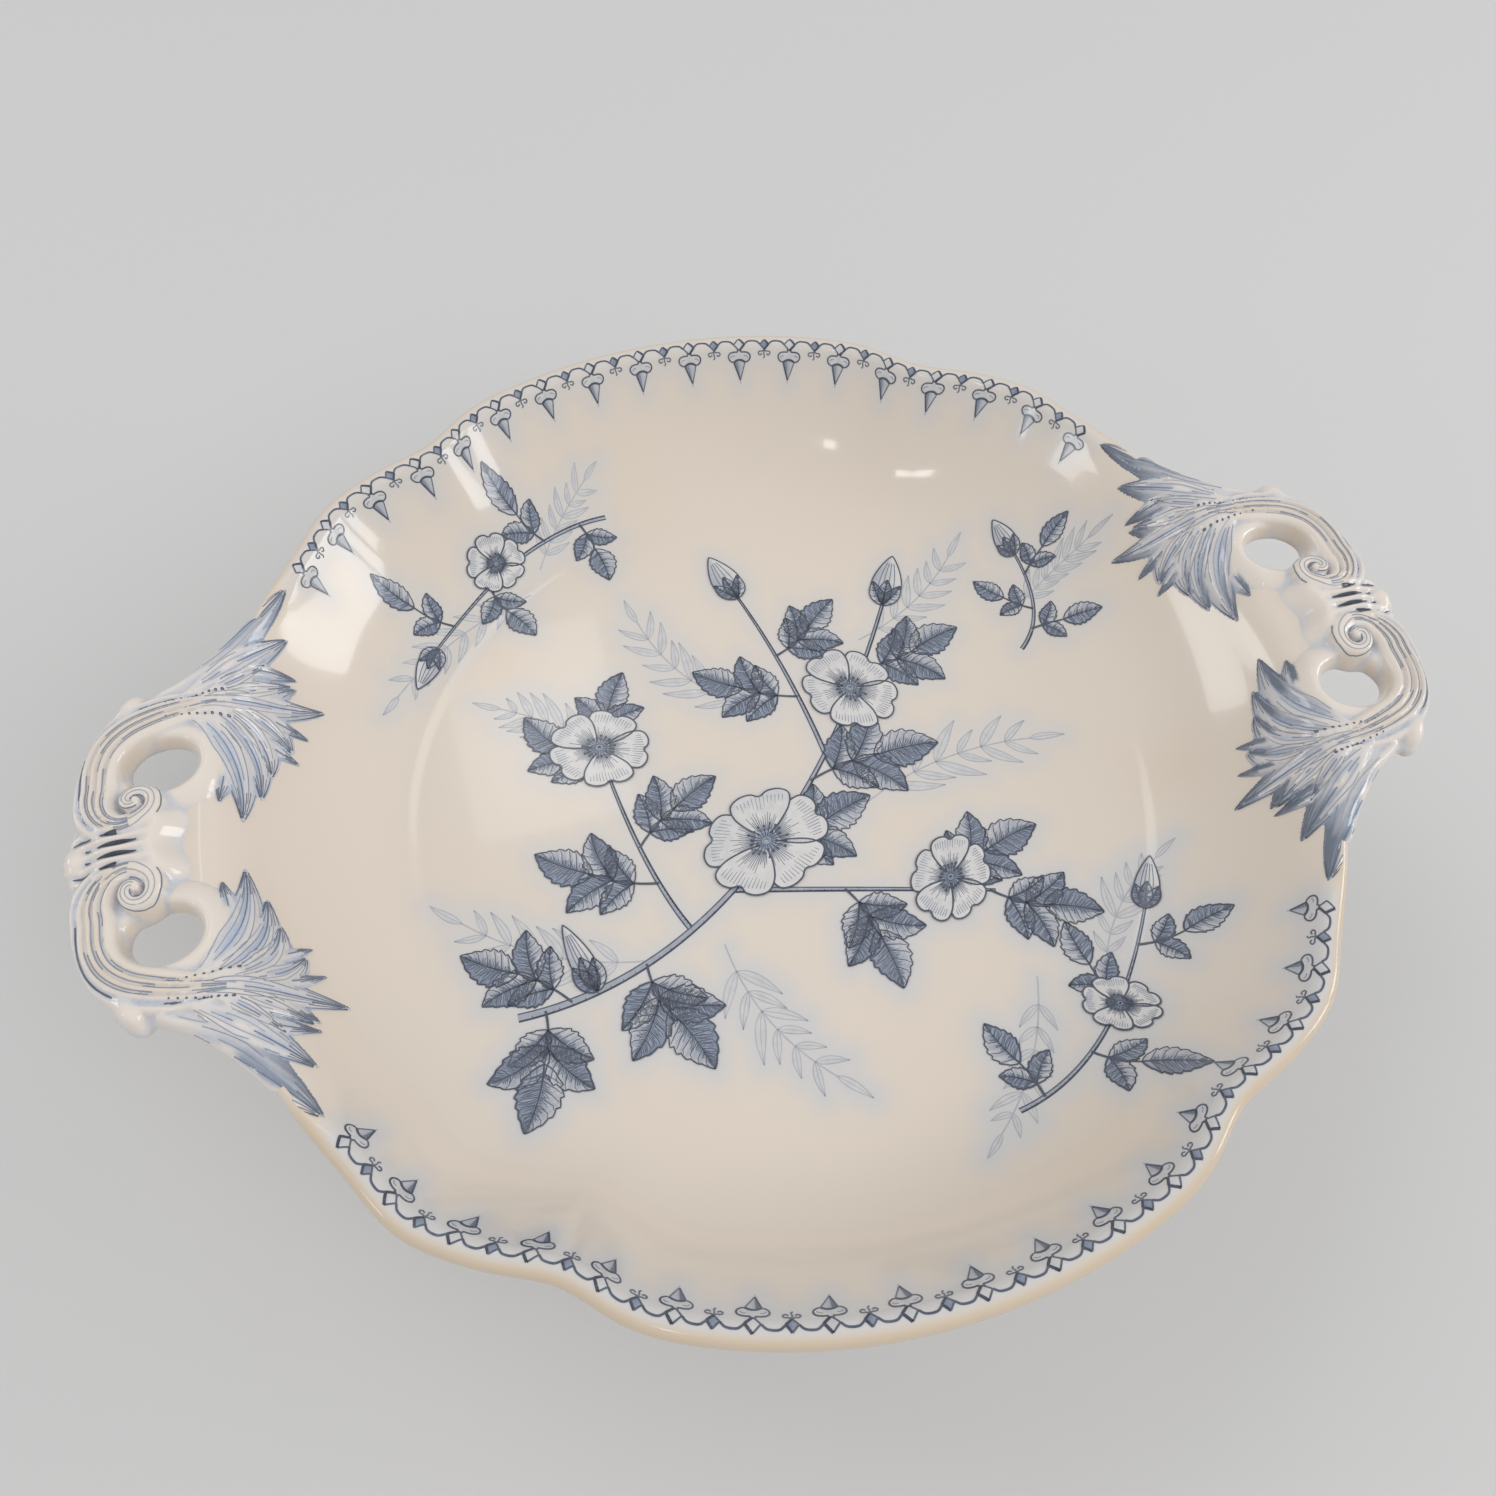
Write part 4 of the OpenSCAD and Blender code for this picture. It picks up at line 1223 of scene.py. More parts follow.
class LeafPainter:
    """Painted lines on one half of a handle: edges, veins and streaks of leaves, flutes, coils and dashes,
    and dots of painted shadow beside the pearls.
    """

    def __init__(self, sheet, form, line, rng, half):
        self.sheet, self.form, self.line, self.rng, self.half = sheet, form, line, rng, half

    def shows(self, plan, height, slack):
        """Where a surface of the given height at plan points is what shows."""
        inside = self.form.at(self.form.bounds, plan) < -LINE_INSET
        return inside & (self.form.at(self.form.top, plan) - height < slack)

    def broken(self, plan, keep, width, tone):
        """Strokes along the stretches of plan points that are kept."""
        width, tone = np.broadcast_to(width, len(plan)), np.broadcast_to(tone, len(plan))
        edges = np.flatnonzero(np.diff(np.concatenate([[0], keep.astype(int), [0]])))
        for start, end in zip(edges[::2], edges[1::2]):
            if end - start > 2:
                self.sheet.stroke(plan[start:end] * (1, self.half), width[start:end], tone[start:end])

    def lobe(self, lobe):
        """A vein, long fine streaks, and edge lines and closer streaks that darken the tip."""
        form, line, rng = self.form, self.line, self.rng
        mid = spline(lobe.path, 0.5)
        t = np.linspace(0, 1, len(mid))
        off = left_of(mid)

        def trace(v, start, end, width, tone):
            plan = mid[:, :2] + off * (mid[:, 2] * v)[:, None]
            rest = form.at(form.rest, plan)
            rise = form.leaf_rise(plan[:, 0], plan[:, 1])
            height = form.lobe_height(lobe, t, np.full(len(t), v), mid[:, 2], rest, rise)
            keep = self.shows(plan, height, LOBE_SLACK)
            self.broken(plan, keep & (t > start) & (t < end), width, tone)

        for v in EDGE_LINES:
            start = 0.82 if v * lobe.turn < 0 else 0.64 + 0.12 * rng.random()
            dark = np.clip((t - start) / 0.3, 0, 1)
            trace(v, start, 0.985, line * (0.4 + 0.55 * dark), 0.45 + 0.42 * dark)
        trace(0.0, 0.55 if lobe.turn else 0.2, 0.98, line * (0.4 + 0.45 * t), 0.32 + 0.5 * t)
        if not lobe.turn:
            for v in LONG_STREAKS:
                start, end = 0.06 + 0.3 * rng.random(), 0.55 + 0.38 * rng.random()
                trace(v, start, end, line * (0.35 + 0.15 * rng.random()), 0.28 + 0.22 * rng.random())
        for v in TIP_STREAKS:
            trace(v, 0.72 + 0.12 * rng.random(), 0.96, line * 0.45, 0.55 + 0.2 * rng.random())

    def scroll(self):
        """Lines in the flutes of the strap and round the coil, the outermost bold."""
        form, line = self.form, self.line
        path = scroll_path()
        off = left_of(path)
        steps = np.arange(len(path))
        wide = path[:, 2] > FLUTE_LINES_FROM

        def trace(at, keep, width, tone):
            plan = path[:, :2] + off * (path[:, 2] * at)[:, None]
            shows = self.shows(plan, form.at(form.strap, plan), STRAP_SLACK)
            self.broken(plan, keep & shows, width, tone)

        for k, (at, _, _) in enumerate(FLUTES):
            shifts, weight, tone = FINE_FLUTE if k else BOLD_FLUTE
            for shift in shifts:
                gaps = np.sin(steps * 0.19 + at * 9 + self.rng.random() * 6) > -0.5
                trace(at + shift, wide & gaps, line * weight, tone)
        for at, weight, tone in COIL_LINES:
            trace(at, (path[:, 2] < COIL_LINES_TO) & (steps > 8), line * weight, tone)

    def clasp(self):
        """Bold dashes in the folds of the clasp and finer ones on its outer end, over the folds' sides."""
        across = np.linspace(-0.5, 0.5, DASH_COLUMNS)
        self.sheet.level = DASH_LEVEL
        for c, start, end, weight in CLASP_DASHES:
            x = np.linspace(start, end, int((end - start) / 0.3))[:, None] + np.zeros(DASH_COLUMNS)
            wide = self.line * weight * np.sin(np.linspace(0.25, 2.9, len(x)))[:, None]
            plan = np.stack([x, c * np.interp(x, *CLASP_WIDTHS) + wide * across], axis=-1)
            flat = plan.reshape(-1, 2)
            height = self.form.at(self.form.clasp, flat)
            keep = self.shows(flat, height, CLASP_SLACK).reshape(x.shape).all(axis=1)
            if keep.sum() > 4:
                shown = plan[keep] * (1, self.half)
                self.sheet.patch(shown, np.full(shown.shape[:2], 0.8 + 0.05 * weight))
        self.sheet.level = 0

    def pearls(self):
        """A dark ink dot at one side of each pearl: its painted shadow."""
        for x, y, size in pearl_places():
            self.sheet.dot((x - 0.25 * size, self.half * (y - size)), 0.5 * size, PEARL_SHADOW_TONE)

    def paint(self):
        """Everything on this half."""
        for lobe in self.form.lobes:
            self.lobe(lobe)
        self.scroll()
        self.clasp()
        self.pearls()


def build_handles():
    """Both handles with their leaves, and the lines painted on them."""
    form = HandleForm()
    points, quads = form.skin()
    on_top = smoothstep(-1.8, -0.5, points[:, 2] - form.at(form.crown, points))
    washes = (form.wash, form.deep, form.rim_wash)
    wash, deep, rim_wash = (form.at(field, points) * on_top for field in washes)
    # Warmer glaze on the sides, undersides and hole walls, wherever the skin is not the top
    warm = np.maximum(form.at(form.warm, points), 0.4 * (1 - on_top))
    far = points[:, 1] > 0
    settings = bpy.context.scene.compote_print
    glaze = shared_material("handle_glaze", glaze_material)
    for side, sign in SIDES.items():
        pale, dark, on_rim = WASH_AND_SHADE_SHARES[side]
        # The right handle's larger dark share on its near half is partly painted shade
        second = deep * np.where(far, *dark) + rim_wash * np.where(far, *on_rim)
        paint = paint_rows(len(points), wash=wash * pale, second=second, warm=warm)
        placed = points * (sign, 1, 1) + (0, 0, form.dish.lip_z)
        faces = quads if sign > 0 else quads[:, ::-1]
        add_piece(
            f"{side}_handle", placed, [faces], glaze,
            replaces=handle_nodes(side), colours={PAINT: paint},
        )
        sheet = InkSheet(form.drape, mm(settings.lift))
        rng = np.random.default_rng(HANDLE_SEED + sign)
        for half in (1, -1):
            LeafPainter(sheet, form, mm(settings.line), rng, half).paint()
        if sign < 0:
            sheet.points = [p * (-1, 1, 1) for p in sheet.points]
            sheet.quads = [q[:, ::-1] for q in sheet.quads]
        sheet.build(f"{side}_handle_ink")


# Border and sprays

# Angles that the far half of the border runs between, and how far in from the chain the wall is measured
BORDER_SPAN = (math.radians(31.2), math.radians(148.8))
BORDER_REACH = 24
BORDER_STEPS = 241
# Parts of the border, in millimetres along the rim and down from the chain: half width and half height of the
# diamonds, the right half of a pendant's cap, its ear and its curl, and a bud's right leaf and its tip
PENDANT_DIAMOND = (1.55, 1.7)
BUD_DIAMOND = (1.25, 1.4)
CAP = [[(0, 1.6), (0.6, 2.0), (2.9, 2.8)], [(0, 4.5), (1.9, 4.9), (3.1, 4.0)]]
CAP_TONES = [[0.08, 0.03, 0.06], [0.14, 0.12, 0.10]]
EAR = [(0.5, 1.35), (0.6, 2.05), (1.5, 2.05), (2.6, 2.3), (3.25, 3.1), (3.1, 4.1), (2.4, 4.8), (1.75, 4.9)]
CURL = [(1.4, 3.1), (2.2, 3.2), (2.6, 3.7)]
TREFOIL = [(0, 1.5), (0.6, 1.9), (1.4, 1.9), (1.75, 2.5), (1.2, 3.0), (0.7, 2.6)]
TREFOIL_TIP = [(0, 1.5), (0.1, 2.6), (-0.1, 3.5), (0.3, 3.9)]
# Where a pendant's cone starts, its half width there, and its length on the far and the near side
CONE_TOP = 4.9
CONE_HALF = 1.7
CONE_DROPS = (5.2, 3.9)
# How far the chain's links keep from the middles of pendants and buds
PENDANT_GAP = 1.6
BUD_GAP = 1.25
DRAWN_STEP = 0.3
BORDER_SEED = 5


def fine_run(points, step):
    """Points about a step apart along the straight runs between the given ones."""
    points = np.asarray(points, float)
    rows = [points[:1]]
    for a, b in zip(points[:-1], points[1:]):
        n = max(1, int(np.ceil(np.linalg.norm(b - a) / step)))
        rows.append(a + (b - a) * (np.arange(1, n + 1) / n)[:, None])
    return np.vstack(rows)


def stretch(values, count):
    """The rows of an array spread to a finer count."""
    at = np.linspace(0, len(values) - 1, count)
    i = np.minimum(at.astype(int), len(values) - 2)
    f = (at - i).reshape((-1,) + (1,) * (values.ndim - 1))
    return values[i] * (1 - f) + values[i + 1] * f


def fine_grid(values, times):
    """A grid with each of its cells split so many times each way."""
    for _ in range(2):
        values = np.swapaxes(stretch(values, (len(values) - 1) * times + 1), 0, 1)
    return values


def border_map(dish, inset):
    """A function from millimetres along the rim and down from the chain to plan points."""
    radius = dish.rim_r - inset
    r = radius - np.linspace(0, BORDER_REACH, BORDER_STEPS)
    z = dish.inside(r, np.full(len(r), math.pi / 2))
    length = np.concatenate([[0], np.cumsum(np.hypot(np.diff(r), np.diff(z)))])

    def place(points):
        angle = points[:, 0] / radius
        drop = np.where(points[:, 1] > 0, np.interp(points[:, 1], length, radius - r), points[:, 1])
        at = dish.rim(angle) - inset - drop
        return np.stack([at * np.cos(angle), at * np.sin(angle)], axis=1)
    return place, radius


class BorderPainter:
    """Draws the chain's parts at places along the rim: x along it, y down the wall, in millimetres."""

    def __init__(self, sheet, place, line):
        self.sheet, self.place, self.line = sheet, place, line

    def draw(self, x, points, width, tone):
        """A line of even width, in shares of the drawn line."""
        self.sheet.stroke(self.place(fine_run(points, DRAWN_STEP) + (x, 0)), self.line * width, tone)

    def curve(self, x, points, width, tone):
        """A smooth line through the points."""
        self.draw(x, spline(points, DRAWN_STEP), width, tone)

    def fill(self, x, rows, tones, times=5):
        """A shaded patch over a grid of points."""
        grid = fine_grid(np.asarray(rows, float), times) + (x, 0)
        plan = self.place(grid.reshape(-1, 2)).reshape(grid.shape)
        self.sheet.patch(plan, fine_grid(np.asarray(tones, float), times))

    def diamond(self, x, half_w, half_h, tones, bold):
        """A diamond with a heavy side and a light side."""
        self.fill(x, [[(0, -half_h), (half_w, 0)], [(-half_w, 0), (0, half_h)]], tones)
        self.draw(x, [(0, -half_h), (half_w, 0), (0, half_h)], 0.9, 0.84)
        self.draw(x, [(0, -half_h), (-half_w, 0), (0, half_h)], bold, 0.96)

    def pendant(self, x, skew, drop):
        """A diamond, a puffed cap with two ears on a neck, and a leaning shaded cone of length drop."""
        self.diamond(x, *PENDANT_DIAMOND, [[0.10, 0.05], [0.16, 0.08]], 1.5)
        for m in (-1, 1):
            self.fill(x, np.array(CAP) * (m, 1), CAP_TONES)
            self.curve(x, np.array(EAR) * (m, 1), 0.95, 0.84 if m > 0 else 0.92)
            self.curve(x, np.array(CURL) * (m, 1), 0.5, 0.5)

        def on_cone(across, down, rise=0.0):
            """A point by its shares across and down the cone, raised towards the cap."""
            return across * CONE_HALF * (1 - down) ** 0.95 + skew * down, CONE_TOP + drop * down - rise

        shares = np.linspace(0, 0.98, 7)
        rows = [[on_cone(m, k, 0.6 * (1 - m * m) * (1 - k)) for m in (-1, -0.3, 0.4, 1)] for k in shares]
        self.fill(x, rows, [[0.16 + 0.1 * k, 0.18 + 0.12 * k, 0.34 + 0.1 * k, 0.52] for k in shares], times=2)
        self.curve(x, [on_cone(m, 0, 0.6 - 0.7 * m * m) for m in (-1, -0.5, 0, 0.5, 1)], 1.5, 0.93)
        self.curve(x, [on_cone(-1, k) for k in (0, 0.38, 1)], 0.75, 0.76)
        self.curve(x, [on_cone(1, k) for k in (0, 0.38, 1)], 1.1, 0.92)
        self.draw(x, [on_cone(0, 1), (skew * 1.2, CONE_TOP + 1.18 * drop)], 0.5, 0.3)
        for k in np.linspace(0.06, 0.76, 9):
            self.draw(x, [on_cone(0.3, k, 0.15), on_cone(0.92, k)], 0.45, 0.74)

    def link(self, x, start, end):
        """An arc of the chain that bows towards the rim."""
        run = end - start
        bow = [(start, 0), (start + 0.26 * run, -0.85), (start + 0.72 * run, -0.95), (end, -0.1)]
        self.curve(x, bow, 1.1, 0.88)

    def bud(self, x):
        """A small dark diamond with a trefoil under it."""
        self.diamond(x, *BUD_DIAMOND, [[0.5, 0.4], [0.7, 0.55]], 1.3)
        for m in (-1, 1):
            self.curve(x, np.array(TREFOIL) * (m, 1), 0.8, 0.8)
        self.curve(x, TREFOIL_TIP, 0.75, 0.78)


def build_border():
    """Chain of diamonds with capped pendants and small buds, on the lip and wall between the handles."""
    settings = bpy.context.scene.compote_print
    dish = the_dish()
    place, radius = border_map(dish, mm(settings.border_inset))
    sheet = InkSheet(dish.drape, mm(settings.lift))
    chain = BorderPainter(sheet, place, mm(settings.line))
    first, last = BORDER_SPAN
    pitch = (last - first) * radius / settings.pendants
    rng = np.random.default_rng(BORDER_SEED)
    for side in (0, 1):
        for i in range(settings.pendants):
            x = (first + side * math.pi) * radius + (i + 0.5) * pitch
            chain.pendant(x, 0.8 * rng.random() - 0.2, CONE_DROPS[side])
            if i < settings.pendants - 1:
                chain.link(x, PENDANT_GAP, pitch / 2 - BUD_GAP)
                chain.link(x, pitch / 2 + BUD_GAP, pitch - PENDANT_GAP)
                chain.bud(x + pitch / 2)
    sheet.build("border_ink")


# Points along a stem, a leaf, a stalk, a frond and its blades, and columns across a leaf
STEM_POINTS = 40
LEAF_POINTS = 36
STALK_POINTS = 20
FROND_POINTS = 30
BLADE_POINTS = 14
LEAF_COLUMNS = 9
# Distance of a leaf's veins, and the least half width that its ends keep
VEIN_STEP = 2.4
THIN = 0.02
# One side of a petal from its root to the middle of its edge, in radii of the blossom
PETAL = [(0.1, 0.03), (0.3, 0.26), (0.58, 0.46), (0.84, 0.5), (0.98, 0.35), (1.0, 0.15), (0.92, 0.0)]
PETALS = 5
STAMENS = 20


def across_path(mid, off, w, v):
    """A grid of points across a path, at shares v of its half widths w."""
    return mid[:, None, :] + off[:, None, :] * (w[:, None] * v[None, :])[:, :, None]


class Spray:
    """Drawing tools for the sprays: shaded leaves, five-petalled blossoms, buds, stems and faint fronds."""

    def __init__(self, sheet, line, seed):
        self.sheet = sheet
        self.line = line
        self.rng = np.random.default_rng(seed)
        self.turn = 0

    def draw(self, plan, width, tone):
        """A line along plan points, its width in shares of the drawn line."""
        self.sheet.stroke(plan, self.line * width, tone)

    def stem(self, start, pull, finish, width):
        """A tapered stem with dark edges and short strokes across it."""
        mid = bend(start, pull, finish, np.linspace(0, 1, STEM_POINTS))
        off = left_of(mid)
        taper = np.linspace(1, 0.4, STEM_POINTS) * width
        self.sheet.level = 0
        self.sheet.stroke(mid, taper, 0.36)
        self.draw(mid + off * (taper / 2)[:, None], 0.8, 0.88)
        self.draw(mid - off * (taper / 2)[:, None], 1.1, 0.96)
        for i in range(1, STEM_POINTS - 1):
            ends = np.array([0.05, 0.45]) * taper[i]
            self.draw(mid[i] - off[i] * ends[:, None], 0.5, 0.86)
        return mid

    def leaf(self, base, tip, bow, width, teeth=7):
        """A toothed leaf, darker on one half, with veins and hatching."""
        t, v = np.linspace(0, 1, LEAF_POINTS), np.linspace(-1, 1, LEAF_COLUMNS)
        mid = bowed(base, tip, bow, LEAF_POINTS)
        off = left_of(mid)
        body = width * np.sin(np.pi * t ** 0.82) ** 0.9
        saw = 1 + 0.2 * ((t * teeth) % 1 - 0.45) * smoothstep(0.08, 0.2, t) * smoothstep(1.0, 0.9, t)
        w = np.maximum(body * saw, THIN)
        dark = 1 if self.rng.random() < 0.5 else -1
        veins = max(4, int(np.linalg.norm(tip - base) / VEIN_STEP))
        puff = 0.09 * np.cos(2 * np.pi * (t[:, None] - 0.12 - 0.14 * np.abs(v)) * veins / 0.7)
        tone = 0.33 + 0.19 * dark * v + 0.13 * np.exp(-(v / 0.2) ** 2) + 0.1 * t[:, None] + puff
        self.sheet.patch(across_path(mid, off, w, v), np.clip(tone, 0.08, 0.75))
        for m in (-1, 1):
            self.draw(mid + off * (m * w)[:, None], (1.05 if m == dark else 0.75), 0.92)
        self.draw(mid, np.linspace(1.1, 0.5, LEAF_POINTS), 0.95)

        def vein(start, side, k, width, tone):
            """A line from the midrib at a share along the leaf out to one edge."""
            at = np.clip(int(start * (LEAF_POINTS - 1)) + np.round(k * 5).astype(int), 0, LEAF_POINTS - 1)
            self.draw(mid[at] + off[at] * (side * w[at] * k)[:, None], width, tone)

        for t0 in np.linspace(0.12, 0.82, veins):
            for m in (-1, 1):
                vein(t0, m, np.linspace(0, 0.92, 5), np.linspace(0.65, 0.35, 5), 0.86)
            for shift in (0.2, 0.4, 0.6, 0.8):
                for m, reach in ((dark, 0.55), (-dark, 0.2)):
                    k = np.linspace(0.06, reach + 0.35 * self.rng.random(), 4)
                    vein(t0 + shift * 0.7 / veins, m, k, np.linspace(0.5, 0.3, 4), 0.82)

    def compound(self, base, towards, bow, size, pairs):
        """Leaflets on a stalk half the way towards a point, over or under their neighbours by turns."""
        self.turn += 1
        self.sheet.level = 1 + self.turn % 2
        stalk = bowed(base, base + (np.asarray(towards, float) - base) * 0.5, bow, STALK_POINTS)
        end = STALK_POINTS - 1
        self.draw(stalk, np.linspace(1.5, 0.9, STALK_POINTS), 0.9)
        for k in range(pairs):
            i = int(end * (0.38 + 0.5 * k / max(1, pairs - 0.4)))
            along = unit(stalk[min(i + 1, end)] - stalk[i - 1])
            for m in (-1, 1):
                grow = size * (0.72 + 0.14 * k + 0.08 * self.rng.random())
                heading = along * 0.62 + quarter_turn(along) * m * 0.78
                self.leaf(stalk[i], stalk[i] + heading * grow, -0.12 * m, grow * 0.29, teeth=6)
        self.leaf(stalk[-1], stalk[-1] + unit(stalk[-1] - stalk[-3]) * size, 0.08, size * 0.31)

    def blossom(self, centre, radius, turn, squash, lean):
        """An open flower that lies over the leaves."""
        centre = np.asarray(centre, float)
        ca, sa = math.cos(lean), math.sin(lean)
        flat = np.array([[ca, -sa], [sa, ca]]) @ np.diag([1.0, squash]) @ np.array([[ca, sa], [-sa, ca]])
        edge = spline(PETAL + [(u, -w) for u, w in PETAL[-2::-1]], 0.04)
        for k in range(PETALS):
            a = turn + k * 2 * math.pi / PETALS
            axis, side = np.array([math.cos(a), math.sin(a)]), np.array([-math.sin(a), math.cos(a)])
            self.sheet.level = 4 + k % 2

            def place(u, w, axis=axis, side=side):
                local = (np.outer(u, axis) + np.outer(w, side)) * radius
                return centre + local @ flat.T

            outline = place(edge[:, 0], edge[:, 1])
            root = place(np.array([0.1]), np.array([0.0]))[0]
            shares = np.linspace(0.05, 1, 9)
            grid = root + (outline[None, :, :] - root) * shares[:, None, None]
            lit = 0.5 + 0.5 * np.sin(a - 0.8)
            near_root = 0.36 * np.exp(-((shares - 0.05) / 0.22) ** 2)
            tone = (near_root + 0.01 + 0.10 * lit * shares ** 2)[:, None] + np.zeros(len(outline))[None, :]
            self.sheet.patch(grid, tone)
            self.draw(outline, 1.0, 0.9)
            for s in np.linspace(-0.85, 0.85, 13):
                end = 0.42 + 0.24 * self.rng.random() - 0.1 * abs(s)
                u = np.linspace(0.2, end, 5)
                self.draw(place(u, s * 0.62 * u), np.linspace(0.5, 0.25, 5), 0.76)
            for s in np.linspace(-0.9, 0.9, 13):
                u = np.linspace(0.95 - 0.12 * abs(s), 0.76 - 0.12 * self.rng.random(), 4)
                across = 0.46 * s * (1 - 0.5 * (0.93 - u))
                self.draw(place(u, across), np.linspace(0.42, 0.2, 4), 0.62 - 0.12 * lit)
        self.sheet.level = 6
        self.sheet.dot(centre, radius * 0.15, 0.5)
        for a in np.linspace(0, 2 * math.pi, STAMENS + 1)[:-1]:
            reach = 0.22 + 0.12 * self.rng.random()
            ray = np.array([[math.cos(a), math.sin(a)]]) * radius
            thread = centre + (ray * np.linspace(0.08, reach, 4)[:, None]) @ flat.T
            self.draw(thread, 0.5, 0.88)
            self.sheet.dot((centre + (ray * (reach + 0.02)) @ flat.T)[0], self.line * 0.8, 0.94)

    def bud(self, base, tip, width):
        """A closed bud with its sepals."""
        base, tip = np.asarray(base, float), np.asarray(tip, float)
        run = tip - base
        length = np.linalg.norm(run)
        aside = unit(quarter_turn(run))
        t, v = np.linspace(0, 1, 20), np.linspace(-1, 1, 5)
        mid = base + run * t[:, None]
        w = width * np.sin(np.pi * t ** 0.7) ** 0.8
        self.sheet.level = 3
        grid = across_path(mid, np.broadcast_to(aside, mid.shape), np.maximum(w, THIN), v)
        self.sheet.patch(grid, 0.10 + 0.16 * v[None, :] + 0.1 * (1 - t[:, None]))
        for m in (-1, 1):
            self.draw(mid + aside * (m * w)[:, None], 0.9, 0.9)
        for s in (-0.5, -0.15, 0.2, 0.5):
            self.draw(mid[3:17] + aside * (s * w[3:17])[:, None], 0.5, 0.75)
        self.sheet.level = 4
        for m in (-1, 0, 1):
            sepal = base + run * (0.5 - 0.08 * abs(m)) + aside * m * width * 0.9
            self.leaf(base, sepal, 0.1 * m, length * 0.11, teeth=1)

    def blade(self, base, tip, bow, width, tone):
        """A faint slender leaf."""
        t = np.linspace(0, 1, BLADE_POINTS)
        mid = bend(base, (base + tip) / 2 + quarter_turn(tip - base) * bow, tip, t)
        off = left_of(mid)
        w = np.maximum(width * np.sin(np.pi * t ** 0.75), THIN)
        grid = across_path(mid, off, w, np.array([-1, 0, 1.0]))
        self.sheet.patch(grid, np.full(grid.shape[:2], 0.35 * tone))
        for m in (-1, 0, 1):
            weight = 0.6 - 0.15 * (m == 0)
            drawn = tone * (0.85 + 0.3 * self.rng.random())
            self.draw(mid + off * (m * w)[:, None], weight, drawn)

    def frond(self, base, tip, bow, spread, tone):
        """A faint stem with slender leaves in pairs."""
        t = np.linspace(0, 1, FROND_POINTS)
        mid = bowed(base, tip, bow, FROND_POINTS)
        off = left_of(mid)
        along = np.stack([off[:, 1], -off[:, 0]], axis=1)
        self.draw(mid, 0.8, tone)
        for i in range(5, FROND_POINTS - 2, 4):
            reach = spread * (0.75 + 0.5 * self.rng.random()) * math.sin(math.pi * (0.25 + 0.6 * t[i]))
            for m in (-1, 1):
                heading = along[i] * (0.7 + 0.2 * self.rng.random()) + off[i] * m * 0.62
                self.blade(mid[i], mid[i] + heading * reach, 0.08 * m, 0.085 * reach + 0.25, tone)
        self.blade(mid[-1], mid[-1] + along[-1] * spread * 0.8, 0.05, 0.085 * spread, tone)


# Faint fronds: base, tip, bow and length of their leaves
FRONDS = [
    ((-40, -40), (-84, -20), 0.16, 12.0), ((-22, -40), (-4, -78), -0.18, 12.0),
    ((24, -10), (72, -2), 0.15, 12.0), ((2, 24), (-24, 60), 0.2, 11.0),
    ((36, 40), (70, 62), -0.14, 11.0), ((-52, 76), (-92, 48), -0.15, 9.0),
    ((66, -70), (90, -44), 0.18, 9.0), ((50, -66), (28, -100), 0.16, 9.0),
    ((-48, 84), (-30, 108), 0.1, 8.0), ((-40, 20), (-66, 40), -0.1, 10.0),
    ((84, 40), (106, 50), 0.1, 8.0),
]
FROND_TONE = 0.25
# Stems of the branch: start, or for the side stems a step along the main one, pull, finish and width
MAIN_STEM = ((-74, -47), (-10, -47), (46, 50), 1.8)
SIDE_STEMS = {
    "up": (14, (-38, -16), (-42, 20), 1.2),
    "low": (18, (18, -34), (48, -42), 1.2),
    "far": (29, (14, 36), (6, 62), 1.1),
}
# Leaves of the branch: which stem, how far along it in steps, where they point, bow and size
BRANCH_LEAVES = [
    ("main", 2, (-72, -72), 0.12, 17), ("main", 4, (-84, -26), -0.1, 15), ("main", 10, (-36, -66), -0.12, 18),
    ("main", 22, (22, -12), -0.1, 17), ("main", 27, (48, 6), 0.1, 18), ("main", 35, (64, 34), -0.12, 16),
    ("up", 13, (-66, -8), 0.12, 16), ("up", 21, (-16, 8), 0.1, 15), ("up", 35, (-62, 34), 0.1, 15),
    ("up", 39, (-34, 44), 0.1, 14), ("low", 16, (20, -58), 0.12, 16), ("low", 30, (64, -24), 0.1, 16),
    ("low", 38, (70, -56), -0.1, 15), ("far", 13, (-14, 38), 0.1, 15), ("far", 23, (32, 52), -0.1, 14),
]
# Blossoms: middle, radius, turn, how much they are squashed, and towards which angle
BLOSSOMS = [
    ((-5, -15), 16.5, 0.3, 0.82, 0.4), ((-42, 22), 13.0, 1.0, 0.86, -0.3),
    ((38, -36), 12.0, 0.1, 0.78, 0.9), ((29, 25), 13.5, 0.7, 0.84, 2.2),
]
# Buds at the ends of the branch: base, tip and half width, and one on the main stem, by its step
END_BUDS = [((46, 50), (54, 66), 4.4), ((6, 62), (1, 78), 4.2)]
SIDE_BUD = (6, (-60, -26), 3.0)
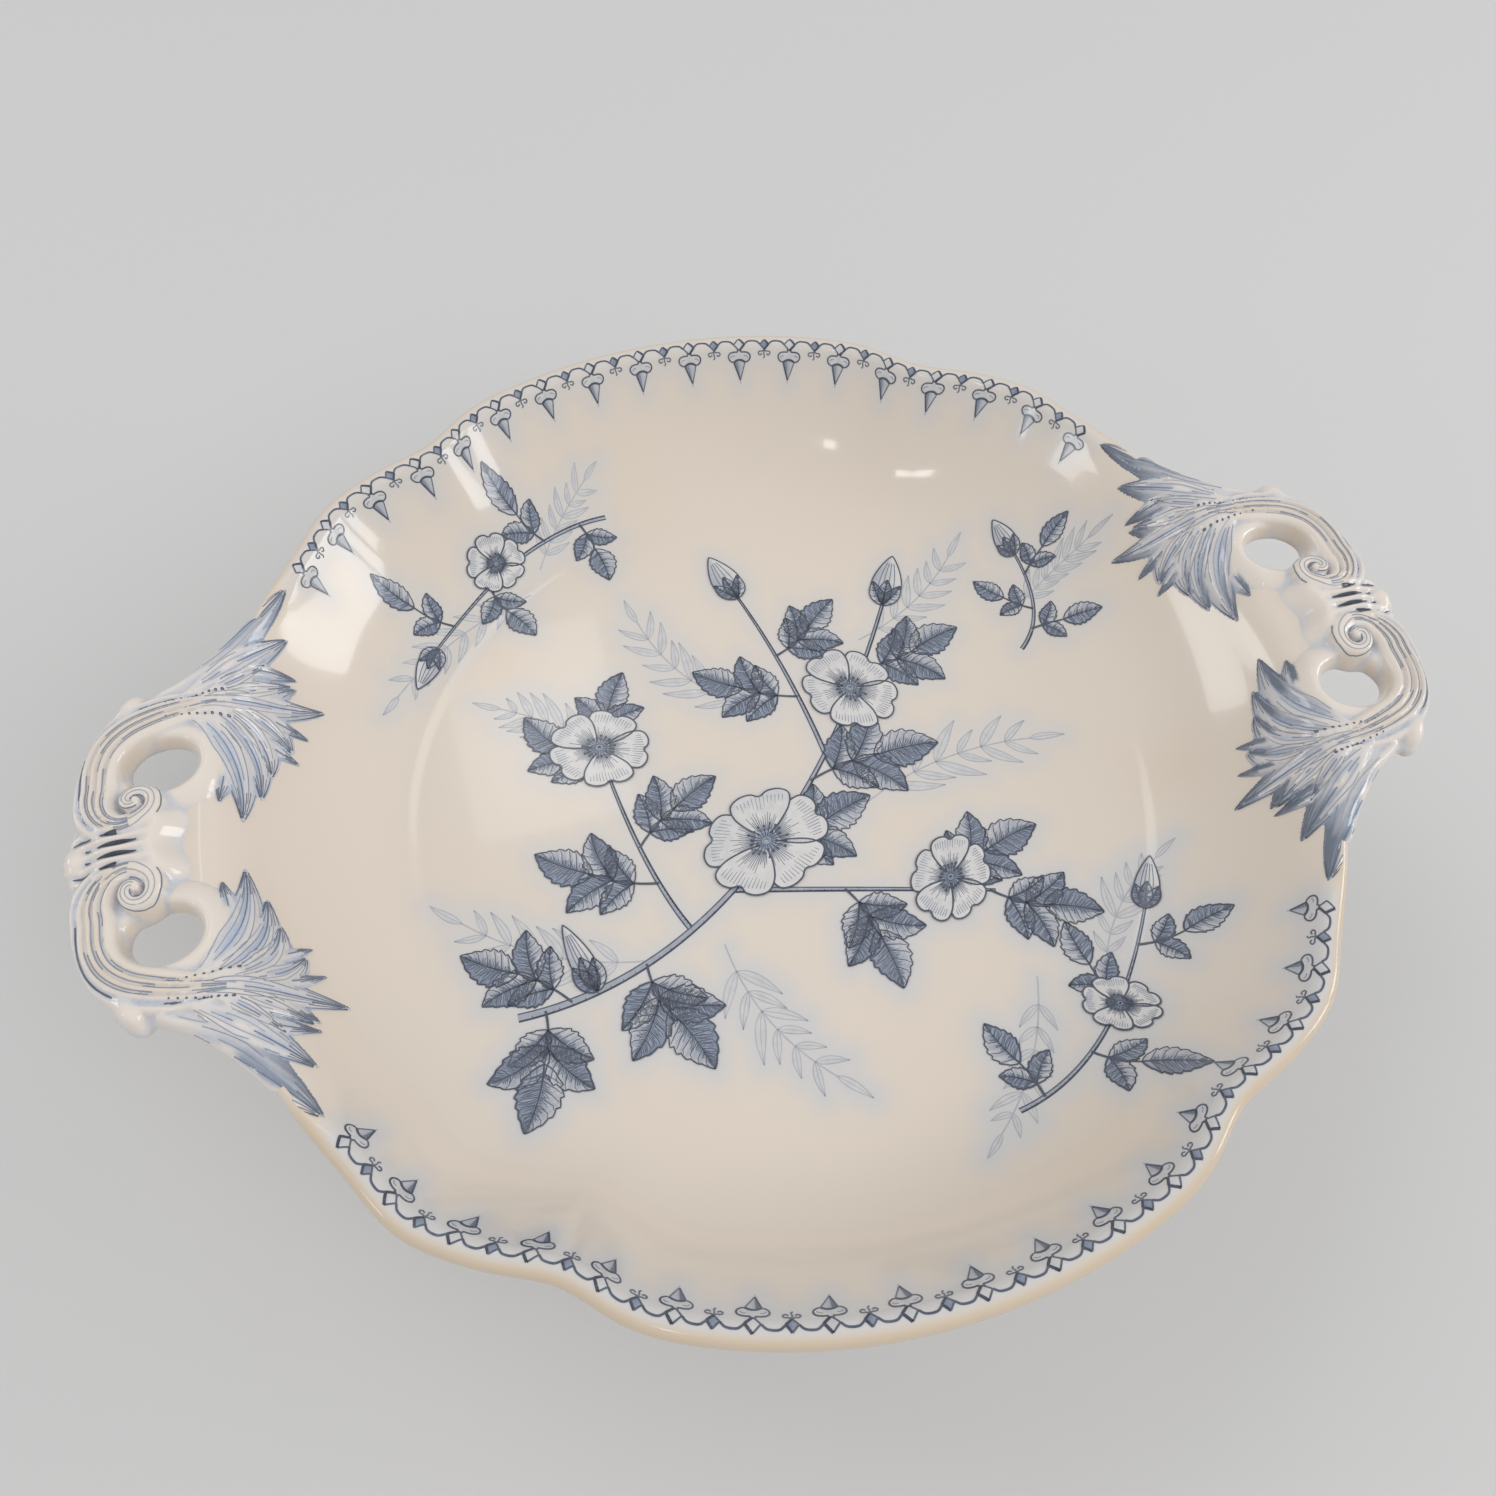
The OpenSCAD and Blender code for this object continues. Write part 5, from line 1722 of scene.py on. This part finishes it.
# Sprigs: stem, leaves by step, point, bow and size, blossom, and bud
SPRIGS = [
    (
        ((-26, 98), (-52, 96), (-80, 62), 1.0),
        ((6, (-28, 80), 0.1, 12), (14, (-58, 106), 0.1, 12),
         (27, (-56, 64), -0.1, 12), (35, (-94, 78), 0.1, 11)),
        ((-60, 86), 8.5, 0.5, 0.8, 0.6), ((-80, 62), (-87, 50), 3.0),
    ),
    (
        ((34, -96), (60, -92), (82, -56), 1.0),
        ((5, (36, -76), -0.1, 12), (16, (70, -100), -0.1, 12),
         (26, (60, -56), 0.1, 12), (34, (98, -66), -0.1, 11)),
        ((66, -78), 8.5, 0.2, 0.8, 2.5), ((82, -56), (89, -43), 3.0),
    ),
    (
        ((80, 26), (92, 36), (88, 56), 0.9),
        ((10, (104, 32), 0.08, 10), (19, (74, 50), 0.08, 10), (32, (102, 60), 0.08, 9)),
        None, ((88, 56), (85, 68), 2.8),
    ),
]
FROND_SEED = 2
BRANCH_SEED = 3
SPRIG_SEED = 4


def build_sprays():
    """Branches of dog rose across the middle, and smaller sprigs on the wall."""
    settings = bpy.context.scene.compote_print
    dish = the_dish()
    line, lift = mm(settings.line), mm(settings.lift)
    faint = InkSheet(dish.drape, lift * 0.5)
    shadow = Spray(faint, line, FROND_SEED)
    for frond in FRONDS:
        shadow.frond(*frond, FROND_TONE)
    faint.build("frond_ink")

    sheets = {name: InkSheet(dish.drape, lift) for name in ("branch_ink", "twig_ink", "blossom_ink")}
    branch = Spray(sheets["branch_ink"], line, BRANCH_SEED)
    main_stem = branch.stem(*MAIN_STEM)
    stems = {"main": main_stem}
    for name, (step, *course) in SIDE_STEMS.items():
        stems[name] = branch.stem(main_stem[step], *course)
    for stem, step, *leaf in BRANCH_LEAVES:
        branch.sheet = sheets["branch_ink" if stem == "main" else "twig_ink"]
        branch.compound(stems[stem][step], *leaf, pairs=2)
    branch.sheet = sheets["blossom_ink"]
    for blossom in BLOSSOMS:
        branch.blossom(*blossom)
    for bud in END_BUDS:
        branch.bud(*bud)
    step, *bud = SIDE_BUD
    branch.bud(main_stem[step], *bud)
    for name, sheet in sheets.items():
        sheet.build(name)

    sheet = InkSheet(dish.drape, lift)
    sprig = Spray(sheet, line, SPRIG_SEED)
    for stem, leaves, blossom, bud in SPRIGS:
        mid = sprig.stem(*stem)
        for step, *leaf in leaves:
            sprig.compound(mid[step], *leaf, pairs=1)
        if blossom:
            sprig.blossom(*blossom)
        sprig.bud(*bud)
    sheet.build("sprig_ink")


# The pieces of ink on the bowl
BOWL_INKS = ("border_ink", "frond_ink", "branch_ink", "twig_ink", "blossom_ink", "sprig_ink")
# Of the ink's points, one in so many is enough to find how near the ink is
INK_SKIP = 9
# Warm stains on the bowl: x, y and reach in metres, and strength
STAINS = [
    (-0.068, 0.058, 0.016, 0.30), (0.104, -0.022, 0.012, 0.24), (-0.03, 0.1, 0.02, 0.12),
    (0.05, -0.112, 0.018, 0.14),
]
# Spans over which the lip turns warm: out to the rim, up to the lip, and away from the handle axis
RIM_SPAN = (-3.8, -1.2)
LIP_SPAN = (-7.0, -1.5)
WARM_SPAN = (0.42, 0.58)
# Over which y, in millimetres, the far side goes over into the near one
NEAR_SPAN = (0.0, -60.0)


def mesh_points(mesh):
    """A mesh's points as rows."""
    co = np.zeros(len(mesh.vertices) * 3)
    mesh.vertices.foreach_get("co", co)
    return co.reshape(-1, 3)


def build_haze():
    """Blue that flowed from the ink into the glaze near it, stains and a warm lip, darker on the near side as
    painted shade, as Paint on the bowl.
    """
    settings = bpy.context.scene.compote_print
    dish = the_dish()
    bowl = bpy.data.objects["bowl_glazed"].data
    places = np.vstack([mesh_points(o.data)[::INK_SKIP] for o in bpy.data.objects if o.name in BOWL_INKS])
    tree = kdtree.KDTree(len(places))
    for i, p in enumerate(places):
        tree.insert(p, i)
    tree.balance()
    co = mesh_points(bowl)
    x, y, z = co.T
    angle = np.arctan2(y, x)
    distance = np.array([tree.find(p)[2] for p in co])
    at_rim = smoothstep(*RIM_SPAN, mm(np.hypot(x, y)) - dish.rim(angle))
    near = smoothstep(*NEAR_SPAN, mm(y))
    flow = np.exp(-(distance / settings.haze_reach) ** 2)
    haze = settings.haze * (1 + 0.5 * near) * flow * (1 - 0.85 * at_rim)
    warm = at_rim * smoothstep(*LIP_SPAN, mm(z) - dish.lip_z) * smoothstep(*WARM_SPAN, dish.from_axis(angle))
    # The lip is warmer and darker on the near side: painted shade
    warm *= 0.58 + 0.38 * near
    for stain_x, stain_y, reach, strength in STAINS:
        warm += strength * np.exp(-((x - stain_x) ** 2 + (y - stain_y) ** 2) / reach ** 2)
    paint = paint_rows(len(co), second=haze, warm=warm)
    bowl.attributes[PAINT].data.foreach_set("color", paint.astype(np.float32).ravel())


# Stage

SENSOR_WIDTH = 36
CLIP = (0.01, 20)
FLOOR_REACH = 4.0
FLOOR_FINISH = {"Roughness": 0.9, "Specular IOR Level": 0.1}
SKY_COLOUR = (0.97, 0.97, 0.97, 1)
# Lamps: name, place and size in metres, and watts; glaze mirrors those that are windows
LAMPS = [
    ("window_1", (2.0, 0.0, 0.86), (0.31, 0.62), 2.3), ("window_2", (1.95, -0.38, 0.90), (0.31, 0.62), 2.3),
    ("window_3", (1.8, -0.80, 0.80), (0.34, 0.62), 2.4), ("window_6", (-0.05, 1.1, 1.9), (0.26, 0.3), 0.35),
    ("window_4", (-1.74, 0.80, 0.94), (0.80, 0.42), 2.8), ("window_5", (-1.8, -0.5, 1.05), (0.2, 0.3), 0.7),
    ("window_7", (-0.66, -1.08, 1.9), (0.16, 0.16), 0.5), ("key", (-1.0, 1.0, 2.2), (1.2, 1.2), 9.5),
    ("fill", (0.8, -1.4, 2.0), (1.4, 1.4), 16.5), ("side", (1.6, 0.3, 1.2), (1.0, 1.0), 2.5),
]
LAMP_AIM = (0, 0, 0.1)


def place_camera(scene, settings):
    """The camera, as in the photograph."""
    el, az, roll = settings.elevation, settings.azimuth, settings.roll
    back = Vector((math.sin(az) * math.cos(el), -math.cos(az) * math.cos(el), math.sin(el)))
    right = Vector((0, 0, 1)).cross(back).normalized()
    up = back.cross(right)
    turned_right = right * math.cos(roll) + up * math.sin(roll)
    turned_up = up * math.cos(roll) - right * math.sin(roll)
    data = bpy.data.cameras.new("camera")
    data.lens = settings.lens
    data.sensor_width = SENSOR_WIDTH
    data.clip_start, data.clip_end = CLIP
    camera = bpy.data.objects.new("camera", data)
    scene.collection.objects.link(camera)
    aim = Vector(settings.aim) + Vector((0, 0, the_dish().lip_z / PER_METRE))
    turn = Matrix((turned_right, turned_up, back)).transposed().to_4x4()
    camera.matrix_world = Matrix.Translation(aim + back * settings.distance) @ turn
    scene.camera = camera


def lay_floor(scene, settings):
    """A pale paper floor."""
    mesh = bpy.data.meshes.new("floor")
    corners = [(x * FLOOR_REACH, y * FLOOR_REACH, 0) for x, y in ((-1, -1), (1, -1), (1, 1), (-1, 1))]
    mesh.from_pydata(corners, [], [(0, 1, 2, 3)])
    floor = bpy.data.objects.new("floor", mesh)
    scene.collection.objects.link(floor)
    material, shader = new_material("floor_paper", FLOOR_FINISH)
    shader.inputs["Base Color"].default_value = (*settings.floor, 1)
    mesh.materials.append(material)


def hang_lamps(scene, settings):
    """Even light all round, and the lamps."""
    world = bpy.data.worlds.new("studio")
    scene.world = world
    world.use_nodes = True
    sky = world.node_tree.nodes["Background"]
    sky.inputs["Color"].default_value = SKY_COLOUR
    sky.inputs["Strength"].default_value = settings.sky
    for name, place, size, watts in LAMPS:
        lamp = bpy.data.lights.new(name, "AREA")
        lamp.energy = watts
        lamp.shape = "RECTANGLE"
        lamp.size, lamp.size_y = size
        lamp_object = bpy.data.objects.new(name, lamp)
        lamp_object.location = place
        lamp_object.rotation_mode = "QUATERNION"
        lamp_object.rotation_quaternion = (Vector(LAMP_AIM) - Vector(place)).to_track_quat("-Z", "Y")
        lamp_object.visible_glossy = name.startswith("window")
        scene.collection.objects.link(lamp_object)


# Operators and panel

class COMPOTE_OT_bowl(bpy.types.Operator):
    """Build the glazed bowl"""
    bl_idname = "compote.bowl"
    bl_label = "Bowl"

    def execute(self, context):
        build_bowl()
        return {"FINISHED"}


class COMPOTE_OT_pedestal(bpy.types.Operator):
    """Build the turned stem and foot"""
    bl_idname = "compote.pedestal"
    bl_label = "Pedestal"

    def execute(self, context):
        build_pedestal()
        return {"FINISHED"}


class COMPOTE_OT_handles(bpy.types.Operator):
    """Build both handles with their leaves and painted lines"""
    bl_idname = "compote.handles"
    bl_label = "Handles"

    def execute(self, context):
        build_handles()
        return {"FINISHED"}


class COMPOTE_OT_border(bpy.types.Operator):
    """Draw the chain border"""
    bl_idname = "compote.border"
    bl_label = "Border"

    def execute(self, context):
        build_border()
        return {"FINISHED"}


class COMPOTE_OT_sprays(bpy.types.Operator):
    """Draw the sprays, and let the blue of the print flow into the glaze"""
    bl_idname = "compote.sprays"
    bl_label = "Sprays"

    def execute(self, context):
        build_sprays()
        build_haze()
        return {"FINISHED"}


class COMPOTE_OT_stage(bpy.types.Operator):
    """Set up the camera, floor and lamps"""
    bl_idname = "compote.stage"
    bl_label = "Stage"

    def execute(self, context):
        context.scene.view_settings.view_transform = "Standard"
        for build in (place_camera, lay_floor, hang_lamps):
            build(context.scene, context.scene.compote_stage)
        return {"FINISHED"}


SETTINGS = {
    "compote_bowl": CompoteBowlSettings,
    "compote_pedestal": CompotePedestalSettings,
    "compote_handle": CompoteHandleSettings,
    "compote_print": CompotePrintSettings,
    "compote_glaze": CompoteGlazeSettings,
    "compote_stage": CompoteStageSettings,
}
OPERATORS = (
    COMPOTE_OT_bowl, COMPOTE_OT_pedestal, COMPOTE_OT_handles,
    COMPOTE_OT_border, COMPOTE_OT_sprays, COMPOTE_OT_stage,
)


class COMPOTE_PT_panel(bpy.types.Panel):
    """Settings and build steps of the compote dish"""
    bl_idname = "COMPOTE_PT_panel"
    bl_label = "Compote dish"
    bl_space_type = "VIEW_3D"
    bl_region_type = "UI"
    bl_category = "Compote"

    def draw(self, context):
        for key, group in SETTINGS.items():
            box = self.layout.box()
            box.label(text=group.__doc__.rstrip("."))
            for name in group.__annotations__:
                box.prop(getattr(context.scene, key), name)
        for operator in OPERATORS:
            self.layout.operator(operator.bl_idname)


def register():
    """Makes the settings, operators and panel known to Blender."""
    for group in SETTINGS.values():
        bpy.utils.register_class(group)
    for key, group in SETTINGS.items():
        setattr(bpy.types.Scene, key, PointerProperty(type=group))
    for cls in (*OPERATORS, COMPOTE_PT_panel):
        bpy.utils.register_class(cls)


def unregister():
    """Takes them away again."""
    for cls in (COMPOTE_PT_panel, *reversed(OPERATORS)):
        bpy.utils.unregister_class(cls)
    for key in SETTINGS:
        delattr(bpy.types.Scene, key)
    for group in SETTINGS.values():
        bpy.utils.unregister_class(group)


def main():
    """Builds the dish and its stage."""
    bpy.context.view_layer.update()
    register()
    bpy.ops.compote.bowl()
    bpy.ops.compote.pedestal()
    bpy.ops.compote.handles()
    bpy.ops.compote.border()
    bpy.ops.compote.sprays()
    bpy.ops.compote.stage()
    bpy.context.view_layer.update()


if __name__ == "__main__":
    main()
